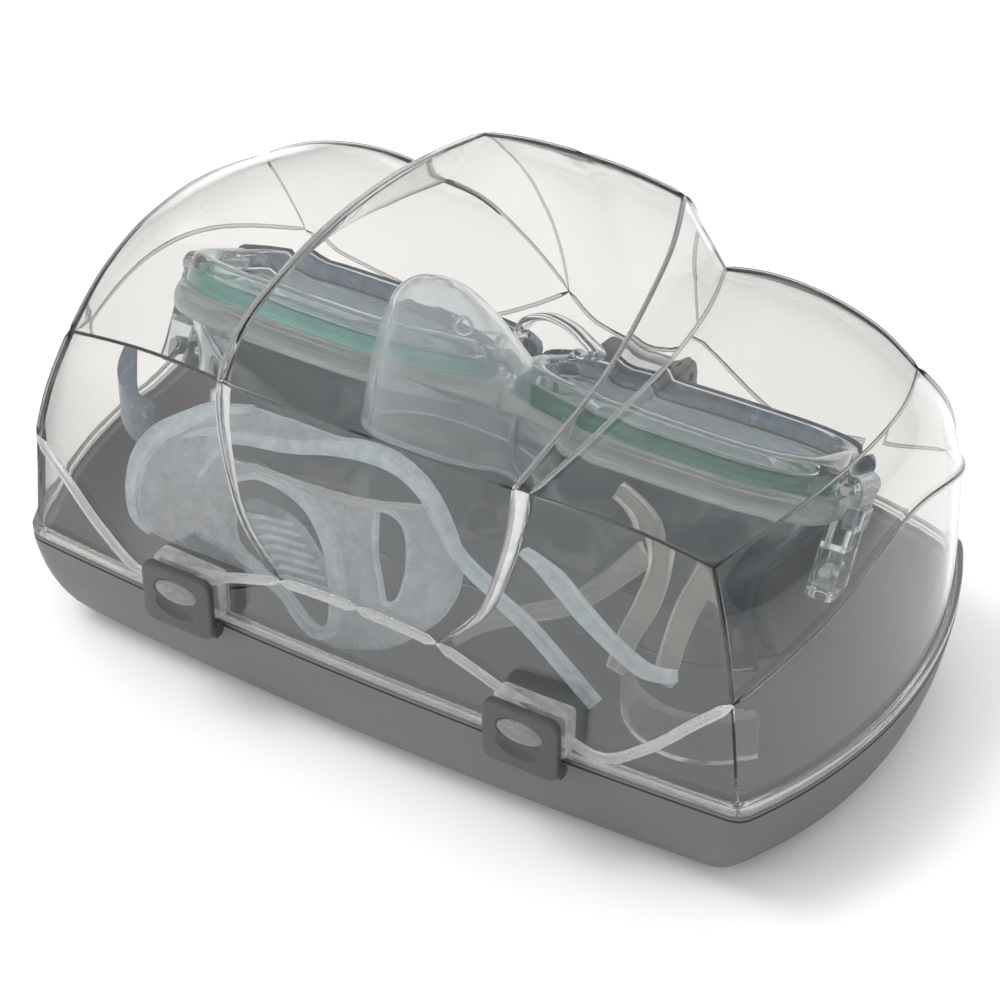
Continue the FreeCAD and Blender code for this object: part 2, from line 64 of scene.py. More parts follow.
def spline(points, n):
    """A smooth line through the given points, as n + 1 evenly spaced points."""
    p = np.asarray(points, float)
    if len(p) == 2:
        return p[0] + np.linspace(0, 1, n + 1)[:, None] * (p[1] - p[0])
    knots = np.concatenate([[0], np.cumsum(np.linalg.norm(np.diff(p, axis=0), axis=1))])
    slopes = np.empty_like(p)
    for i in range(1, len(p) - 1):
        before = (p[i] - p[i - 1]) / (knots[i] - knots[i - 1])
        after = (p[i + 1] - p[i]) / (knots[i + 1] - knots[i])
        share = (knots[i] - knots[i - 1]) / (knots[i + 1] - knots[i - 1])
        slopes[i] = (1 - share) * before + share * after
    slopes[0] = 1.5 * (p[1] - p[0]) / (knots[1] - knots[0]) - 0.5 * slopes[1]
    slopes[-1] = 1.5 * (p[-1] - p[-2]) / (knots[-1] - knots[-2]) - 0.5 * slopes[-2]

    def at(values):
        i = np.clip(np.searchsorted(knots, values, side="right") - 1, 0, len(p) - 2)
        h = (knots[i + 1] - knots[i])[:, None]
        t = (values - knots[i])[:, None] / h
        a = 2 * t**3 - 3 * t**2 + 1
        b = t**3 - 2 * t**2 + t
        return a * p[i] + b * h * slopes[i] + (1 - a) * p[i + 1] + (t**3 - t**2) * h * slopes[i + 1]

    dense = at(np.linspace(0, knots[-1], 40 * len(p)))
    run = np.concatenate([[0], np.cumsum(np.linalg.norm(np.diff(dense, axis=0), axis=1))])
    even = np.linspace(0, run[-1], n + 1)
    return np.stack([np.interp(even, run, dense[:, k]) for k in range(3)], axis=1)


def coons(low, high, left, right, bulge=0.0, out=(0, 0, 1)):
    """A patch between four edge lines; bulge pushes its middle along out."""
    nu, nv = len(low) - 1, len(left) - 1
    u = np.linspace(0, 1, nu + 1)[:, None, None]
    v = np.linspace(0, 1, nv + 1)[None, :, None]
    grid = (1 - v) * low[:, None] + v * high[:, None] + (1 - u) * left[None] + u * right[None]
    corners = (1 - u) * (1 - v) * low[0] + u * (1 - v) * low[-1]
    corners = corners + (1 - u) * v * high[0] + u * v * high[-1]
    push = 16 * u * (1 - u) * v * (1 - v)
    return grid - corners + bulge * push * np.asarray(out, float)


class Net:
    """Collects patches and rings of points, then makes one welded mesh object of them."""

    def __init__(self):
        self.points = []
        self.faces = []
        self.second = set()

    def patch(self, grid, flip=False, second=False):
        """Adds a grid of points; second gives its faces the object's second material."""
        base = sum(len(p) for p in self.points)
        nu, nv = grid.shape[:2]
        self.points.append(grid.reshape(-1, 3))
        for i in range(nu - 1):
            for j in range(nv - 1):
                a = base + i * nv + j
                quad = (a, a + nv, a + nv + 1, a + 1)
                if second:
                    self.second.add(len(self.faces))
                self.faces.append(quad[::-1] if flip else quad)
        return self

    def mirrored(self):
        """Adds the mirror image in x of everything so far."""
        base = sum(len(p) for p in self.points)
        old = np.concatenate(self.points)
        self.points.append(old * (-1, 1, 1))
        self.second |= {i + len(self.faces) for i in self.second}
        self.faces += [tuple(base + i for i in f[::-1]) for f in self.faces]
        return self

    def object(self, name, weld=0.02, recalc=True):
        mesh = bpy.data.meshes.new(name)
        mesh.from_pydata(to_row(np.concatenate(self.points)).tolist(), [], self.faces)
        for i in self.second:
            mesh.polygons[i].material_index = 1
        bm = bmesh.new()
        bm.from_mesh(mesh)
        bmesh.ops.remove_doubles(bm, verts=bm.verts, dist=weld * MM)
        bmesh.ops.dissolve_degenerate(bm, edges=bm.edges, dist=weld * MM)
        if recalc:
            bmesh.ops.recalc_face_normals(bm, faces=bm.faces)
        bm.to_mesh(mesh)
        bm.free()
        for face in mesh.polygons:
            face.use_smooth = True
        return link(name, mesh)


def link(name, mesh):
    obj = bpy.data.objects.new(name, mesh)
    bpy.context.scene.collection.objects.link(obj)
    return obj


def apply_modifiers(obj):
    """Bakes the modifiers into the mesh."""
    graph = bpy.context.evaluated_depsgraph_get()
    mesh = bpy.data.meshes.new_from_object(obj.evaluated_get(graph), depsgraph=graph)
    obj.modifiers.clear()
    obj.data = mesh
    return obj


def add_modifier(obj, kind, **values):
    mod = obj.modifiers.new(kind.lower(), kind)
    for key, value in values.items():
        setattr(mod, key, value)
    return mod


def paint(obj, material):
    obj.data.materials.clear()
    obj.data.materials.append(material)
    return obj


def finish_piece(obj, material, body, slot, *replaced):
    paint(obj, material)
    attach(obj, body)
    if replaced:
        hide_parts(*replaced)
    return obj


# ---------------------------------------------------------------- materials


def new_material(name):
    material = bpy.data.materials.new(name)
    material.use_nodes = True
    nodes = material.node_tree.nodes
    nodes.clear()
    return material, nodes, material.node_tree.links


def noise(nodes, links, scale, detail=4.0, roughness=0.55, stretch=(1, 1, 1)):
    """Noise in object coordinates; scale is per metre."""
    place = nodes.new("ShaderNodeTexCoord")
    mapping = nodes.new("ShaderNodeMapping")
    mapping.inputs["Scale"].default_value = stretch
    texture = nodes.new("ShaderNodeTexNoise")
    texture.inputs["Scale"].default_value = scale
    texture.inputs["Detail"].default_value = detail
    texture.inputs["Roughness"].default_value = roughness
    links.new(place.outputs["Object"], mapping.inputs["Vector"])
    links.new(mapping.outputs["Vector"], texture.inputs["Vector"])
    return texture.outputs["Fac"]


def ramp(nodes, links, source, *stops):
    node = nodes.new("ShaderNodeValToRGB")
    elements = node.color_ramp.elements
    for i, (place, colour) in enumerate(stops):
        element = elements[i] if i < 2 else elements.new(place)
        element.position = place
        element.color = (*colour, 1) if len(colour) == 3 else colour
    links.new(source, node.inputs["Fac"])
    return node.outputs["Color"]


def spread(nodes, links, source, low, high):
    """Turns a 0 to 1 value into low to high."""
    node = nodes.new("ShaderNodeMapRange")
    node.inputs["To Min"].default_value = low
    node.inputs["To Max"].default_value = high
    links.new(source, node.inputs["Value"])
    return node.outputs["Result"]


def bump(nodes, links, height, distance, strength=0.4, normal=None):
    node = nodes.new("ShaderNodeBump")
    node.inputs["Distance"].default_value = distance
    node.inputs["Strength"].default_value = strength
    links.new(height, node.inputs["Height"])
    if normal is not None:
        links.new(normal, node.inputs["Normal"])
    return node.outputs["Normal"]


def grey_plastic(name, shade):
    """Charcoal ABS with a fine spark-eroded grain and a little wear in its sheen."""
    material, nodes, links = new_material(name)
    shader = nodes.new("ShaderNodeBsdfPrincipled")
    out = nodes.new("ShaderNodeOutputMaterial")
    cloud = noise(nodes, links, 14, 5)
    grain = noise(nodes, links, 1900, 3, 0.6)
    dark, light = shade * 0.93, shade * 1.07
    colour = ramp(nodes, links, cloud, (0.3, (dark, dark, dark * 1.02)), (0.75, (light, light, light * 1.01)))
    links.new(colour, shader.inputs["Base Color"])
    links.new(spread(nodes, links, cloud, 0.36, 0.50), shader.inputs["Roughness"])
    shader.inputs["IOR"].default_value = 1.53
    links.new(bump(nodes, links, grain, 0.00012, 0.35), shader.inputs["Normal"])
    links.new(shader.outputs["BSDF"], out.inputs["Surface"])
    return material


def clear_solid(name, tint, roughness=0.0, ior=1.49, ripple=0.0, ripple_scale=60.0, haze_and_highlight=0.0, haze_and_highlight_tint=(1, 1, 1),
                mottle=0.15):
    """Clear plastic with real refraction; lamps shine through it. The haze share adds a milky look, patchy by mottle;
    on the arch, crest and lug materials that share is a painted highlight, and on the step material a painted
    reflection.
    """
    material, nodes, links = new_material(name)
    glass = nodes.new("ShaderNodeBsdfPrincipled")
    glass.inputs["Base Color"].default_value = (*tint, 1)
    glass.inputs["Transmission Weight"].default_value = 1.0
    glass.inputs["IOR"].default_value = ior
    glass.inputs["Roughness"].default_value = roughness
    if ripple:
        wave = noise(nodes, links, ripple_scale, 2, 0.4)
        links.new(bump(nodes, links, wave, ripple * MM, 0.5), glass.inputs["Normal"])
    body = glass.outputs["BSDF"]
    if haze_and_highlight:
        milk_and_highlight = nodes.new("ShaderNodeBsdfTranslucent")
        skin = nodes.new("ShaderNodeBsdfDiffuse")
        weak = [c * (1 - mottle) for c in haze_and_highlight_tint]
        strong = [min(1.0, c * (1 + mottle)) for c in haze_and_highlight_tint]
        clouds = ramp(nodes, links, noise(nodes, links, 330, 5, 0.65), (0.35, weak), (0.65, strong))
        links.new(clouds, milk_and_highlight.inputs["Color"])
        links.new(clouds, skin.inputs["Color"])
        cloudy = nodes.new("ShaderNodeMixShader")
        cloudy.inputs["Fac"].default_value = 0.5
        links.new(milk_and_highlight.outputs["BSDF"], cloudy.inputs[1])
        links.new(skin.outputs["BSDF"], cloudy.inputs[2])
        patchy = spread(nodes, links, noise(nodes, links, 70, 3), haze_and_highlight * 0.75, haze_and_highlight * 1.25)
        both = nodes.new("ShaderNodeMixShader")
        links.new(patchy, both.inputs["Fac"])
        links.new(body, both.inputs[1])
        links.new(cloudy.outputs["Shader"], both.inputs[2])
        body = both.outputs["Shader"]
    through = nodes.new("ShaderNodeBsdfTransparent")
    through.inputs["Color"].default_value = (*[c ** 0.5 for c in tint], 1)
    light_path = nodes.new("ShaderNodeLightPath")
    either = nodes.new("ShaderNodeMath")
    either.operation = "MAXIMUM"
    links.new(light_path.outputs["Is Shadow Ray"], either.inputs[0])
    links.new(light_path.outputs["Is Diffuse Ray"], either.inputs[1])
    mix = nodes.new("ShaderNodeMixShader")
    links.new(either.outputs["Value"], mix.inputs["Fac"])
    links.new(body, mix.inputs[1])
    links.new(through.outputs["BSDF"], mix.inputs[2])
    out = nodes.new("ShaderNodeOutputMaterial")
    links.new(mix.outputs["Shader"], out.inputs["Surface"])
    return material


def steel():
    material, nodes, links = new_material("stainless")
    shader = nodes.new("ShaderNodeBsdfPrincipled")
    out = nodes.new("ShaderNodeOutputMaterial")
    lines = noise(nodes, links, 500, 3, 0.5, (0.05, 1, 1))
    links.new(ramp(nodes, links, lines, (0.2, (0.50, 0.51, 0.52)), (0.8, (0.66, 0.66, 0.67))), shader.inputs["Base Color"])
    shader.inputs["Metallic"].default_value = 1.0
    links.new(spread(nodes, links, lines, 0.22, 0.38), shader.inputs["Roughness"])
    links.new(shader.outputs["BSDF"], out.inputs["Surface"])
    return material


GREY = grey_plastic("grey_abs", 0.093)
LATCH_GREY = grey_plastic("latch_abs", 0.047)
STEEL = steel()
LID_CLEAR = clear_solid("clear_polycarbonate", (0.883, 0.876, 0.862), ior=1.45)
# The lid's step faces: a white frosted haze that is a painted reflection, a white band of reflected light.
STEP_PAINTED_REFLECTION = clear_solid("step_painted_reflection", (0.97, 0.97, 0.97), 0.2, 1.45, 0.0, 60, 0.75, (0.93, 0.93, 0.93))
# Crease beads: a real bead shape, with a darker tint that is painted shade along the lid's creases.
CREASE_SHADE_CLEAR = clear_solid("crease_polycarbonate_painted_shade", (0.66, 0.66, 0.66), 0.03, 1.5, 0.05, 200)
# Arch and crest beads: their pale milky haze is a painted highlight along these creases.
ARCH_HIGHLIGHT_CLEAR = clear_solid("arch_polycarbonate_painted_highlight", (0.90, 0.90, 0.90), 0.06, 1.45, 0.03, 200, 0.26, (0.92, 0.92, 0.91), 0.05)
CREST_HIGHLIGHT_CLEAR = clear_solid("crest_polycarbonate_painted_highlight", (0.84, 0.84, 0.84), 0.04, 1.5, 0.03, 200, 0.12, (0.88, 0.88, 0.87), 0.05)
BUTTON_CLEAR = clear_solid("clear_button", (0.95, 0.95, 0.95), 0.04, 1.5, 0.30, 420, 0.30, (0.72, 0.72, 0.72))
BUCKLE_CLEAR = clear_solid("clear_buckle", (0.74, 0.78, 0.80), 0.02, 1.47, 0.15, 120, 0.05, (0.55, 0.60, 0.63))
# Lug and knuckle moulding: real ripple bumps, and a patchy milky haze that is painted glints, a painted sparkle.
LUG_CLEAR_PAINTED_GLINTS = clear_solid("clear_moulding_painted_glints", (0.96, 0.96, 0.96), 0.02, 1.5, 0.28, 300, 0.22, (0.80, 0.80, 0.79), 0.5)
FRAME_CLEAR = clear_solid("clear_frame", (0.93, 0.96, 0.97), ior=1.47, ripple=0.12, ripple_scale=110)
SILICONE = clear_solid("clear_silicone", (0.58, 0.63, 0.66), 0.0, 1.42, 0.60, 42, 0.04, (0.50, 0.54, 0.57))
STRAP_MILK = clear_solid("milky_silicone", (0.86, 0.90, 0.92), 0.08, 1.41, 0.10, 60, 0.42, (0.50, 0.525, 0.56))
STRAP_RIM = clear_solid("milky_silicone_rim", (0.88, 0.92, 0.94), 0.10, 1.41, 0.10, 60, 0.55, (0.56, 0.63, 0.67))
STRAP_FAINT = clear_solid("clear_strap_end", (0.86, 0.88, 0.88), 0.05, 1.41, 0.25, 120, 0.14, (0.52, 0.52, 0.50))
STRAP_CREAM = clear_solid("creamy_silicone", (0.88, 0.87, 0.84), 0.12, 1.41, 0.25, 220, 0.22, (0.52, 0.51, 0.48))
LENS_CLEAR = clear_solid("lens_glass_clear", (0.86, 0.92, 0.95), 0.0, 1.5, 0.0, 60, 0.19, (0.66, 0.75, 0.79), 0.3)
# One green lens-edge glass in two copies: the left one lighter as painted light, the right one darker as painted
# shade.
LENS_EDGE_LIT = clear_solid("lens_glass_edge_lit", (0.50, 0.78, 0.72), 0.02, 1.5, 0.05, 200, 0.30, (0.14, 0.32, 0.28))
LENS_EDGE_SHADED = clear_solid("lens_glass_edge_shaded", (0.34, 0.58, 0.52), 0.02, 1.5, 0.05, 200, 0.36, (0.05, 0.14, 0.115))
COLLAR = clear_solid("frosted_silicone", (0.90, 0.92, 0.91), 0.12, 1.40, 0.10, 60, 0.30, (0.48, 0.49, 0.47))
NOSE_CLEAR = clear_solid("nose_silicone", (0.93, 0.95, 0.96), 0.03, 1.40, 0.20, 40, 0.11, (0.60, 0.65, 0.68))
FLANGE_CLEAR = clear_solid("flange_polycarbonate", (0.90, 0.90, 0.89), 0.03, 1.45, 0.0, 60, 0.07, (0.80, 0.79, 0.76))
TRIM_DARK = clear_solid("dark_trim", (0.26, 0.31, 0.38), 0.22, 1.45, 0.30, 260, 0.42, (0.13, 0.17, 0.22), 0.9)

# ---------------------------------------------------------------- camera, light and floor

CAMERA_AZIMUTH = math.radians(31.56)
CAMERA_ELEVATION = math.radians(37.04)
CAMERA_DISTANCE = 697.0
CAMERA_ASIDE = -0.2
CAMERA_UP = 7.6


def make_camera():
    az, el = CAMERA_AZIMUTH, CAMERA_ELEVATION
    back = np.array([math.sin(az) * math.cos(el), -math.cos(az) * math.cos(el), math.sin(el)])
    right = np.array([math.cos(az), math.sin(az), 0.0])
    up = np.cross(back, right)
    data = bpy.data.cameras.new("camera")
    data.sensor_width = 36.0
    data.lens = 108.1
    data.clip_start = 0.01
    camera = bpy.data.objects.new("camera", data)
    bpy.context.scene.collection.objects.link(camera)
    axes = Matrix(np.stack([right, up, back], axis=1).tolist()).to_4x4()
    place = back * CAMERA_DISTANCE + right * CAMERA_ASIDE + up * CAMERA_UP
    camera.matrix_world = Matrix.Translation(Vector(to_row(place))) @ axes
    bpy.context.scene.camera = camera


def area_light(name, place, aim, size, watts, colour=(1, 1, 1), size_y=None):
    data = bpy.data.lights.new(name, "AREA")
    data.energy = watts
    data.color = colour
    data.size = size
    if size_y:
        data.shape = "RECTANGLE"
        data.size_y = size_y
    light = bpy.data.objects.new(name, data)
    light.location = place
    light.rotation_euler = (Vector(aim) - Vector(place)).to_track_quat("-Z", "Y").to_euler()
    light.visible_glossy = False
    light.visible_transmission = False
    bpy.context.scene.collection.objects.link(light)


def make_stage():
    world = bpy.data.worlds.new("studio")
    world.use_nodes = True
    nodes, links = world.node_tree.nodes, world.node_tree.links
    place = nodes.new("ShaderNodeTexCoord")
    split = nodes.new("ShaderNodeSeparateXYZ")
    links.new(place.outputs["Generated"], split.inputs["Vector"])
    sky = ramp(nodes, links, split.outputs["Z"], (0.02, (0.36, 0.36, 0.365)), (0.55, (0.95, 0.95, 0.95)))
    links.new(sky, nodes["Background"].inputs["Color"])
    nodes["Background"].inputs["Strength"].default_value = 1.0
    bpy.context.scene.world = world
    area_light("key", (-0.45, -0.35, 0.95), (0, 0, 0.05), 0.45, 4.5)
    area_light("fill", (0.8, -0.6, 0.45), (0, 0, 0.05), 0.6, 1.5)
    area_light("rim", (-0.2, 0.9, 0.6), (0, 0, 0.06), 0.5, 2.0)
    area_light("left", (-0.40, -0.46, 0.13), (-0.05, -0.06, 0.02), 0.25, 1.2)
    mesh = bpy.data.meshes.new("floor")
    size = 3.0
    corners = [(-size, -size, 0), (size, -size, 0), (size, size, 0), (-size, size, 0)]
    mesh.from_pydata(corners, [], [(0, 1, 2, 3)])
    floor = link("floor", mesh)
    material, nodes, links = new_material("pale_floor")
    shader = nodes.new("ShaderNodeBsdfPrincipled")
    out = nodes.new("ShaderNodeOutputMaterial")
    shader.inputs["Base Color"].default_value = (0.93, 0.93, 0.93, 1)
    shader.inputs["Roughness"].default_value = 0.9
    links.new(shader.outputs["BSDF"], out.inputs["Surface"])
    paint(floor, material)


def render_limits():
    """Enough bounces for the stacked clear walls, and denoising."""
    cycles = bpy.context.scene.cycles
    cycles.max_bounces = 28
    cycles.transmission_bounces = 24
    cycles.transparent_max_bounces = 32
    cycles.glossy_bounces = 6
    cycles.diffuse_bounces = 3
    cycles.caustics_reflective = False
    cycles.caustics_refractive = False
    cycles.use_denoising = True
    bpy.context.scene.view_settings.view_transform = "Standard"


# ---------------------------------------------------------------- the clear lid

LID_WALL = 1.6
RIM_INSET = 1.2


def rim_arc(a, middle, b, n):
    """n + 1 points on the circle through three plan points."""
    (ax, ay), (mx, my), (bx, by) = a, middle, b
    d = 2 * (ax * (my - by) + mx * (by - ay) + bx * (ay - my))
    sa, sm, sb = ax**2 + ay**2, mx**2 + my**2, bx**2 + by**2
    cx = (sa * (my - by) + sm * (by - ay) + sb * (ay - my)) / d
    cy = (sa * (bx - mx) + sm * (ax - bx) + sb * (mx - ax)) / d
    r = math.hypot(ax - cx, ay - cy)
    t0, t1 = math.atan2(ay - cy, ax - cx), math.atan2(by - cy, bx - cx)
    turn = (t1 - t0 + math.pi) % (2 * math.pi) - math.pi
    t = t0 + turn * np.linspace(0, 1, n + 1)
    return np.stack([cx + r * np.cos(t), cy + r * np.sin(t)], axis=1)


def rim_lines(inset, n_front, n_side, n_rear):
    """Front, side and rear stretches of the right half of the rim, in plan."""
    fc = (93.0 - inset, -57.0 + inset)
    rc = (93.0 - inset, 52.0 - inset)
    front = rim_arc((0, -60.5 + inset), (fc[0] / 2, -60.5 + inset + 0.87), fc, n_front)
    side = rim_arc(fc, (BULGE_X - inset, 5.5), rc, n_side)
    rear = rim_arc(rc, (0, 64.0 - inset), (-rc[0], rc[1]), 2 * n_rear)[: n_rear + 1]
    return front, side, rear


def at_height(plan, z):
    return np.column_stack([plan, np.full(len(plan), float(z))])


def make_lid():
    """The lid's skin as a net of panels that meet in its creases, with the lines of those creases; its wall is given
    later by Solidify.
    """
    corner_a = (89.0, -55.6, 28.5)
    rear_a = (89.0, 51.0, 26.5)
    corner_b = (80.5, -50.5, 57.0)
    rear_top = (86.0, 32.0, 58.5)
    arch_end = (20.0, -58.9, 17.2)
    panel_top = (36.8, -55.0, 62.0)
    flank_top = (37.8, -50.6, 58.4)
    valley_end = (37.0, 35.0, 66.2)
    crest_end = (26.0, 35.0, 81.3)
    n_arch, n_flank, n_side, n_rear, n_up, n_step = 10, 26, 36, 34, 14, 3
    n_roof, n_hump = 36, 14

    arch = spline([(0, -59.1, 18.3), (10, -59.1, 18.1), arch_end], n_arch)
    dip = [arch_end, (30, -58.8, 13.9), (40, -58.5, 9.8), (50, -58.1, 5.2), (60, -57.7, 2.6)]
    dip += [(71, -57.2, 10.0), (81, -56.4, 20.5), corner_a]
    flank_a = spline(dip, n_flank)
    side_a = spline([corner_a, (96.8, -32, 36.5), (99.2, 3, 43.0), (96.4, 38, 32.6), rear_a], n_side)
    rear_line = [rear_a, (66, 57.0, 16.5), (43, 60.0, 12.0), (28, 60.0, 20.0), (17, 60.0, 28.0)]
    rear_a_line = spline(rear_line, n_flank)
    hinge_a = spline([(17, 60.0, 28.0), (9, 60.5, 21.0), (0, 60.5, 20.0)], n_arch)

    front_r, side_r, rear_r = rim_lines(RIM_INSET, n_arch + n_flank, n_side, n_flank + n_arch)
    front_r, side_r, rear_r = (at_height(p, 0.2) for p in (front_r, side_r, rear_r))

    panel_c = spline([arch_end, (29.8, -57.9, 28.0), (34.2, -57.0, 41.0), (36.6, -55.8, 54.0), panel_top], n_up)
    flank_c = spline([arch_end, (31.2, -56.6, 28.0), (35.6, -54.2, 41.0), (37.7, -51.8, 53.0), flank_top], n_up)
    corner_edge = spline([corner_a, (85.8, -53.6, 42.0), corner_b], n_up)
    rear_edge = spline([rear_a, (89.3, 43.5, 43.0), rear_top], n_up)
    top_b = spline([(0, -55.4, 62.0), (18, -55.3, 62.0), panel_top], n_arch)
    flank_b = spline([flank_top, (60, -49.4, 58.2), corner_b], n_flank)
    side_top = spline([corner_b, (87.3, -28, 59.8), (91.0, -4, 60.8), (90.6, 14, 60.4), rear_top], n_side)
    crest = [panel_top, (39.0, -45, 67.4), (40, -27, 72.2), (37, 0, 78.2), (33, 17, 80.4), crest_end]
    crest = spline(crest, n_roof)
    valley = [flank_top, (42, -40, 63.2), (44.5, -25, 66.2), (44.5, 0, 67.0), (41.5, 20, 66.8), valley_end]
    valley = spline(valley, n_roof)
    middle = spline([(0, -55.4, 62.0), (0, -45, 68.4), (0, -27, 74.5), (0, 0, 81.0), (0, 35, 84.0)], n_roof)
    lobe_ridge = spline([valley_end, (48, 35, 68.2), (63, 35, 67.2), (77, 34, 63.2), rear_top], n_flank)
    hump_ridge = spline([(0, 35, 84.0), (14, 35, 83.3), crest_end], n_arch)
    crest_drop = spline([crest_end, valley_end], n_step)
    foot = (17, 60.0, 28.0)
    back_valley = spline([valley_end, (33, 45, 57.5), (25, 54, 43.0), foot], n_hump)
    back_crest = spline([crest_end, (24, 45, 71.0), (19.5, 54, 52.0), foot], n_hump)
    back_middle = spline([(0, 35, 84.0), (0, 46, 70.0), (0, 56, 46.0), (0, 60.5, 20.0)], n_hump)

    step_foot = spline([panel_top, flank_top], n_step)
    point = np.repeat(np.array([arch_end]), n_step + 1, axis=0)

    def up(a, b, n):
        return spline([a, b], n)

    net = Net()
    low_n = 8
    cut = n_arch + 1
    net.patch(coons(front_r[:cut], arch, up(front_r[0], arch[0], low_n), up(front_r[cut - 1], arch[-1], low_n)))
    net.patch(coons(front_r[cut - 1:], flank_a, up(front_r[cut - 1], flank_a[0], low_n),
                    up(front_r[-1], flank_a[-1], low_n)))
    net.patch(coons(side_r, side_a, up(side_r[0], side_a[0], low_n), up(side_r[-1], side_a[-1], low_n)))
    tail = len(rear_a_line)
    net.patch(coons(rear_r[:tail], rear_a_line, up(rear_r[0], rear_a_line[0], low_n),
                    up(rear_r[tail - 1], rear_a_line[-1], low_n)))
    net.patch(coons(rear_r[tail - 1:], hinge_a, up(rear_r[tail - 1], hinge_a[0], low_n),
                    up(rear_r[-1], hinge_a[-1], low_n)))
    net.patch(coons(arch, top_b, spline([arch[0], (0, -57.6, 40.0), top_b[0]], n_up), panel_c, 0.8, (0, -1, 0)))
    # The step faces take the second material, the painted reflection.
    net.patch(coons(point, step_foot, panel_c, flank_c), second=True)
    net.patch(coons(flank_a, flank_b, flank_c, corner_edge, 0.7, (0, -1, 0)))
    net.patch(coons(side_a, side_top, corner_edge, rear_edge, 0.8, (1, 0, 0)))
    net.patch(coons(flank_b, lobe_ridge, valley, side_top, 1.6, (0, -0.1, 1)))
    net.patch(coons(top_b, hump_ridge, middle, crest, 1.0, (0, -0.3, 1)))
    net.patch(coons(crest, valley, step_foot, crest_drop, -0.6, (1, 0, 0)))
    net.patch(coons(hump_ridge, hinge_a[::-1], back_middle, back_crest, 1.2, (0, 1, 0.3)))
    net.patch(coons(back_crest, back_valley, crest_drop, np.repeat(np.array([foot]), n_step + 1, axis=0)))
    net.patch(coons(lobe_ridge, rear_a_line[::-1], back_valley, rear_edge[::-1], 1.2, (0, 1, 0.4)))
    net.mirrored()
    creases = {
        "arch": (arch, flank_a),
        "low": (side_a, rear_a_line, hinge_a),
        "corner": (panel_c, flank_c, corner_edge, rear_edge),
        "crest": (crest, valley),
        "high": (top_b, flank_b, side_top, lobe_ridge, hump_ridge, back_crest, back_valley),
    }
    return net, creases


# ---------------------------------------------------------------- more helpers


def rings(net, loops, close=False):
    """Joins closed loops of points, one after the other, into a skin."""
    loops = [np.asarray(loop, float) for loop in loops]
    base = sum(len(p) for p in net.points)
    n = len(loops[0])
    net.points += loops
    last = len(loops) if close else len(loops) - 1
    for k in range(last):
        for i in range(n):
            a, b = base + k * n + i, base + k * n + (i + 1) % n
            c, d = base + (k + 1) % len(loops) * n + (i + 1) % n, base + (k + 1) % len(loops) * n + i
            net.faces.append((a, b, c, d))
    return net


def cap(net, loop_index, n, flip=False):
    """Closes one loop of n points with a single face."""
    ids = list(range(loop_index * n, loop_index * n + n))
    net.faces.append(tuple(ids[::-1] if flip else ids))
    return net


def rounded_loop(x0, x1, y0, y1, radii, n=24):
    """A rounded rectangle, anticlockwise from its lower right corner; n points a corner."""
    corners = [(x1, y0, -90), (x1, y1, 0), (x0, y1, 90), (x0, y0, 180)]
    points = []
    for (x, y, start), r in zip(corners, radii):
        cx = x - math.copysign(r, x - (x0 + x1) / 2)
        cy = y - math.copysign(r, y - (y0 + y1) / 2)
        for t in np.radians(start + 90 * np.linspace(0, 1, n)):
            points.append((cx + r * math.cos(t), cy + r * math.sin(t)))
    return np.array(points)


def even_loop(points, n):
    """Spaces the points of a closed plan or space loop evenly."""
    p = np.vstack([points, points[:1]])
    run = np.concatenate([[0], np.cumsum(np.linalg.norm(np.diff(p, axis=0), axis=1))])
    even = np.linspace(0, run[-1], n + 1)[:-1]
    return np.stack([np.interp(even, run, p[:, k]) for k in range(p.shape[1])], axis=1)


def soften_loop(points, reach):
    """Rounds the corners of an evenly spaced closed loop by averaging over reach neighbours."""
    total = sum(np.roll(points, k, axis=0) for k in range(-reach, reach + 1))
    return total / (2 * reach + 1)


def rounded_box(name, low, high, side_r, edge_r, axis=1, segments=4):
    """A box with its edges along one axis rounded by side_r and all others by edge_r."""
    low, high = np.asarray(low, float), np.asarray(high, float)
    mesh = bpy.data.meshes.new(name)
    bm = bmesh.new()
    bmesh.ops.create_cube(bm, size=1.0)
    for v in bm.verts:
        v.co = Vector(to_row((np.array(v.co) + 0.5) * (high - low) + low))
    if side_r:
        along = [e for e in bm.edges if abs((e.verts[0].co - e.verts[1].co).normalized()[axis]) > 0.9]
        bmesh.ops.bevel(bm, geom=along, offset=side_r * MM, segments=segments, profile=0.5, affect="EDGES")
    sharp = [e for e in bm.edges if len(e.link_faces) == 2 and e.calc_face_angle() > math.radians(50)]
    bmesh.ops.bevel(bm, geom=sharp, offset=edge_r * MM, segments=3, profile=0.5, affect="EDGES")
    bm.to_mesh(mesh)
    bm.free()
    for face in mesh.polygons:
        face.use_smooth = True
    return link(name, mesh)


def cut_away(obj, tool):
    add_modifier(obj, "BOOLEAN", object=tool, operation="DIFFERENCE", solver="EXACT")
    apply_modifiers(obj)
    bpy.data.objects.remove(tool)
    return obj


def ellipsoid(name, centre, radii, rings_n=20, segments=40):
    mesh = bpy.data.meshes.new(name)
    bm = bmesh.new()
    bmesh.ops.create_uvsphere(bm, u_segments=segments, v_segments=rings_n, radius=1.0)
    for v in bm.verts:
        v.co = Vector(to_row(np.array(v.co) * radii + centre))
    bm.to_mesh(mesh)
    bm.free()
    for face in mesh.polygons:
        face.use_smooth = True
    return link(name, mesh)


def join(name, *objects):
    """Puts several meshes into one object."""
    bm = bmesh.new()
    for obj in objects:
        bm.from_mesh(obj.data)
        bpy.data.objects.remove(obj)
    mesh = bpy.data.meshes.new(name)
    bm.to_mesh(mesh)
    bm.free()
    return link(name, mesh)


